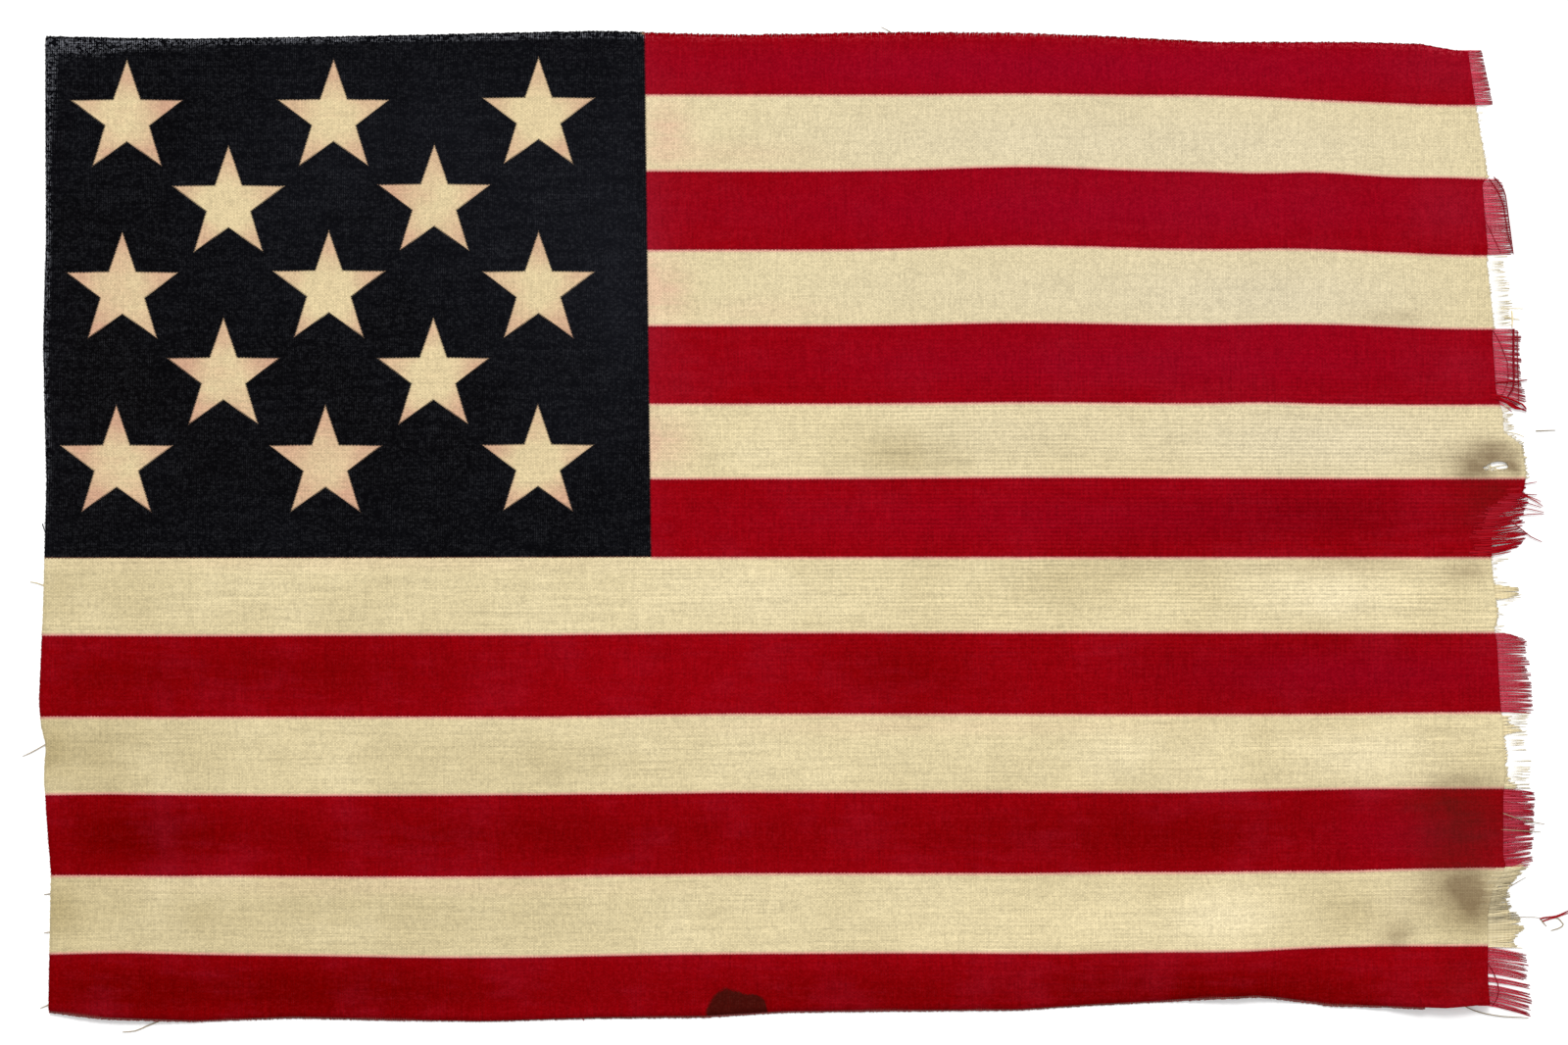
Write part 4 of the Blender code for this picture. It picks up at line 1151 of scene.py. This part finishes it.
def tear_fly_edge(name, stripes, extra, above, slot, look):
    """The loose threads of the red or of the cream stripes as one piece, in place of their combs."""
    dice = random.Random(SEED + stripes[0])
    threads = [thread for number in stripes for thread in stripe_fringe(number, dice)]
    threads += [thread for mat in MATS if mat[0] in stripes for thread in mat_of_picks(mat, dice)]
    threads += laid_threads(extra, dice, above)
    settle(thread_piece(name, threads, look), slot, *[f"fly_fringe_{number + 1:02d}" for number in stripes])


def cut_edge(name, line, outward, pitch, look, soil, dye, **values):
    """Cut thread ends along one edge, from (x, y, how far the ends stand out) along it. They take the dye of
    the print behind them, unless the edge has one of its own."""
    points, reaches, dyes = [], [], []
    for x, y, reach in line:
        points.append((x, y, at_place(lift, x, y) + IN_CLOTH))
        reaches.append((reach + THREAD_BURIED) * MM)
        red, navy, _ = dye or dye_at(x - outward[0] * EDGE_STEP, y - outward[1] * EDGE_STEP)
        dyes.append((red, navy, soil))
    edges = [(index, index + 1) for index in range(len(points) - 1)]
    attributes = {"reach": reaches, "dye": dyes, "outward": [outward] * len(points)}
    piece = new_piece(name, line_mesh(name, points, edges, attributes))
    values = {label.capitalize().replace("_", " "): value for label, value in values.items()}
    values |= {"Thread pitch": pitch, "Material": thread_material(look)}
    plain_mesh(piece, made_tree("cut_ends_along_edge", cut_end_tree), values)
    settle(piece, "printed_bunting")


def raw_edges(look):
    """Thread ends along the top, bottom and hoist edges. Those of the bottom edge are red, greyed and
    darkened: part dirt, part painted shade under the edge.
    """
    xs = np.arange(-HALF_LENGTH + 0.6, 206.5, EDGE_STEP)
    lost = along(LOST_AT_TOP, xs)
    reach = np.where(xs > CANTON_EDGE, np.maximum(lost - 0.10, 0.1), lost)
    cut_edge("top_thread_ends", zip(xs, top_edge(xs) - lost - THREAD_BURIED, reach), (0.0, 1.0, 0.0),
             look.warp_pitch, look, 0.0, None,
             thickness=0.26 * MM, root=0.90, tip=1.0, uneven_length=0.14, turn=0.05, seed=3)
    xs = np.arange(-HALF_LENGTH + 1.5, 192.0, EDGE_STEP)
    lost = along(LOST_AT_BOTTOM, xs)
    reach = np.minimum(lost + 0.25, 0.75)
    # The grey of the bottom ends and their touch of navy stand for the dirt of the cut edge and, as painted
    # shade, for the band of shade under it.
    cut_edge("bottom_thread_ends", zip(xs, bottom_edge(xs) + lost + THREAD_BURIED, reach), (0.0, -1.0, 0.0),
             look.warp_pitch, look, 0.9, (0.85, 0.12, 0.0),
             thickness=0.29 * MM, root=1.0, tip=0.95, uneven_length=0.10, turn=0.06, seed=5)
    ys = np.arange(-HALF_WIDTH + 2.5, HALF_WIDTH - 0.5, EDGE_STEP)
    lost = along(LOST_AT_HOIST, ys)
    reach = np.minimum(lost, 0.15)
    cut_edge("hoist_thread_ends", zip(hoist_edge(ys) + lost + THREAD_BURIED, ys, reach), (-1.0, 0.0, 0.0),
             look.weft_pitch, look, 0.20, None,
             thickness=0.18 * MM, root=1.0, tip=0.7, uneven_length=0.25, turn=0.15, seed=9)


def light_stage(stage):
    """A white card floor, even white studio light and a soft key from above the top edge, and the camera."""
    bpy.ops.mesh.primitive_plane_add(size=stage.floor_size, location=(0.0, 0.0, 0.0))
    floor = bpy.context.object
    floor.name = "floor"
    # Matt white card: almost even, with the faint mottling of its fibres
    material, tree, shader = blank_material("matt_white_card", 0.9, 0.1)
    card = add(tree, NOISE, {"Vector": add(tree, "ShaderNodeTexCoord", out=3), "Scale": 40.0, "Detail": 2.0})
    tree.links.new(layered(tree, CARD_DULL, (card, CARD_WHITE)), shader.inputs["Base Color"])
    floor.data.materials.append(material)

    scene = bpy.context.scene
    world = bpy.data.worlds.new("studio")
    world.use_nodes = True
    world.node_tree.nodes["Background"].inputs["Color"].default_value = linear(STUDIO_WHITE)
    world.node_tree.nodes["Background"].inputs["Strength"].default_value = stage.fill
    scene.world = world
    key = bpy.data.lights.new("soft_key", "SUN")
    key.energy = stage.key
    key.angle = math.radians(24.0)
    holder = bpy.data.objects.new("soft_key", key)
    holder.rotation_euler = Vector((-0.10, 0.85, 1.0)).to_track_quat("Z", "Y").to_euler()
    scene.collection.objects.link(holder)

    lens = bpy.data.cameras.new("camera")
    lens.sensor_width = 36.0
    lens.lens = lens.sensor_width * stage.camera_height / stage.frame_width
    lens.clip_start = 0.01
    camera = bpy.data.objects.new("camera", lens)
    camera.location = (stage.middle_x, stage.middle_y, stage.camera_height)
    scene.collection.objects.link(camera)
    scene.camera = camera
    scene.view_settings.view_transform = "Standard"


def a_length(name, description, millimetres):
    return bpy.props.FloatProperty(
        name=name, description=description, default=millimetres * MM, unit="LENGTH", precision=5)


def an_amount(name, description, default, least=0.0):
    return bpy.props.FloatProperty(name=name, description=description, default=default, min=least)


def a_colour(name, what, default):
    return bpy.props.StringProperty(name=name, description=f"sRGB hex colour of the {what}", default=default)


class FlagLook(bpy.types.PropertyGroup):
    """Sizes and colours of the cloth and its threads"""
    warp_pitch: a_length("Warp pitch", "Distance between neighbouring warp threads", 0.5175)
    weft_pitch: a_length("Weft pitch", "Distance between neighbouring weft threads", 0.40)
    thickness: a_length("Thickness", "Thickness of the visual cloth", 0.5)
    clearance: a_length("Clearance", "Gap between the cloth and the surface where it lies flat", 0.1)
    mesh_step: a_length("Mesh step", "Size of one mesh cell of the cloth", 2.0)
    thread_scale: an_amount("Thread scale", "Thickness of all loose threads", 1.0, 0.2)
    red_hex: a_colour("Red", "red stripes", RED)
    cream_hex: a_colour("Cream", "cream stripes", CREAM)
    navy_hex: a_colour("Navy", "canton", NAVY)
    star_hex: a_colour("Stars", "stars", STAR_WHITE)


class FlagStage(bpy.types.PropertyGroup):
    """Sizes and strengths of the stage"""
    floor_size: a_length("Floor size", "Side of the square white floor", 6000.0)
    camera_height: a_length("Camera height", "Height of the camera over the surface", 1201.0)
    frame_width: a_length("Frame width", "Width of the surface that the camera sees", 480.0)
    middle_x: a_length("Middle X", "Where the camera stands along the flag", -3.9)
    middle_y: a_length("Middle Y", "Where the camera stands across the flag", 1.37)
    fill: an_amount("Fill light", "Strength of the even white light", 0.86)
    key: an_amount("Key light", "Strength of the soft key light", 1.95)


class FLAG_OT_stage(bpy.types.Operator):
    """Sets the floor, the lights and the camera"""
    bl_idname = "flag.stage"
    bl_label = "Stage"

    def execute(self, context):
        light_stage(context.scene.flag_stage)
        return {"FINISHED"}


class FLAG_OT_red_fringe(bpy.types.Operator):
    """Makes the loose threads of the seven red stripes at the fly"""
    bl_idname = "flag.red_fringe"
    bl_label = "Red fringe"

    def execute(self, context):
        look = context.scene.flag_look
        tear_fly_edge("red_fringe", range(0, 13, 2), TORN_WARPS + LONG_PICKS, 0.30, "red_weft", look)
        return {"FINISHED"}


class FLAG_OT_cream_fringe(bpy.types.Operator):
    """Makes the loose threads of the six cream stripes at the fly"""
    bl_idname = "flag.cream_fringe"
    bl_label = "Cream fringe"

    def execute(self, context):
        look = context.scene.flag_look
        tear_fly_edge("cream_fringe", range(1, 13, 2), CREAM_STRAYS, 0.10, "cream_weft", look)
        return {"FINISHED"}


class FLAG_OT_raw_edges(bpy.types.Operator):
    """Makes the thread ends of the three cut edges"""
    bl_idname = "flag.raw_edges"
    bl_label = "Raw edges"

    def execute(self, context):
        raw_edges(context.scene.flag_look)
        return {"FINISHED"}


class FLAG_OT_loose_threads(bpy.types.Operator):
    """Makes the few long threads that lie loose round the cloth"""
    bl_idname = "flag.loose_threads"
    bl_label = "Loose threads"

    def execute(self, context):
        threads = laid_threads(LOOSE_THREADS, random.Random(SEED + 90))
        settle(thread_piece("loose_threads", threads, context.scene.flag_look), "red_weft")
        return {"FINISHED"}


class FLAG_OT_cloth(bpy.types.Operator):
    """Makes the printed cloth with its folds, hole, print, wear and dirt"""
    bl_idname = "flag.cloth"
    bl_label = "Printed cloth"

    def execute(self, context):
        weave_cloth(context.scene.flag_look)
        return {"FINISHED"}


class FLAG_PT_panel(bpy.types.Panel):
    """Lists the flag's pieces and settings"""
    bl_idname = "FLAG_PT_panel"
    bl_label = "Tattered flag"
    bl_space_type = "VIEW_3D"
    bl_region_type = "UI"
    bl_category = "Flag"

    def draw(self, context):
        for settings in (context.scene.flag_look, context.scene.flag_stage):
            for name in settings.__annotations__:
                self.layout.prop(settings, name)
        for operator in OPERATORS:
            self.layout.operator(operator.bl_idname)


OPERATORS = (FLAG_OT_stage, FLAG_OT_red_fringe, FLAG_OT_cream_fringe, FLAG_OT_raw_edges,
             FLAG_OT_loose_threads, FLAG_OT_cloth)
CLASSES = (FlagLook, FlagStage) + OPERATORS + (FLAG_PT_panel,)


def register():
    for item in CLASSES:
        bpy.utils.register_class(item)
    bpy.types.Scene.flag_look = bpy.props.PointerProperty(type=FlagLook)
    bpy.types.Scene.flag_stage = bpy.props.PointerProperty(type=FlagStage)


def unregister():
    del bpy.types.Scene.flag_stage
    del bpy.types.Scene.flag_look
    for item in reversed(CLASSES):
        bpy.utils.unregister_class(item)


def main():
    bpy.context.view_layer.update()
    register()
    bpy.ops.flag.stage()
    bpy.ops.flag.red_fringe()
    bpy.ops.flag.cream_fringe()
    bpy.ops.flag.raw_edges()
    bpy.ops.flag.loose_threads()
    bpy.ops.flag.cloth()


if __name__ == "__main__":
    main()
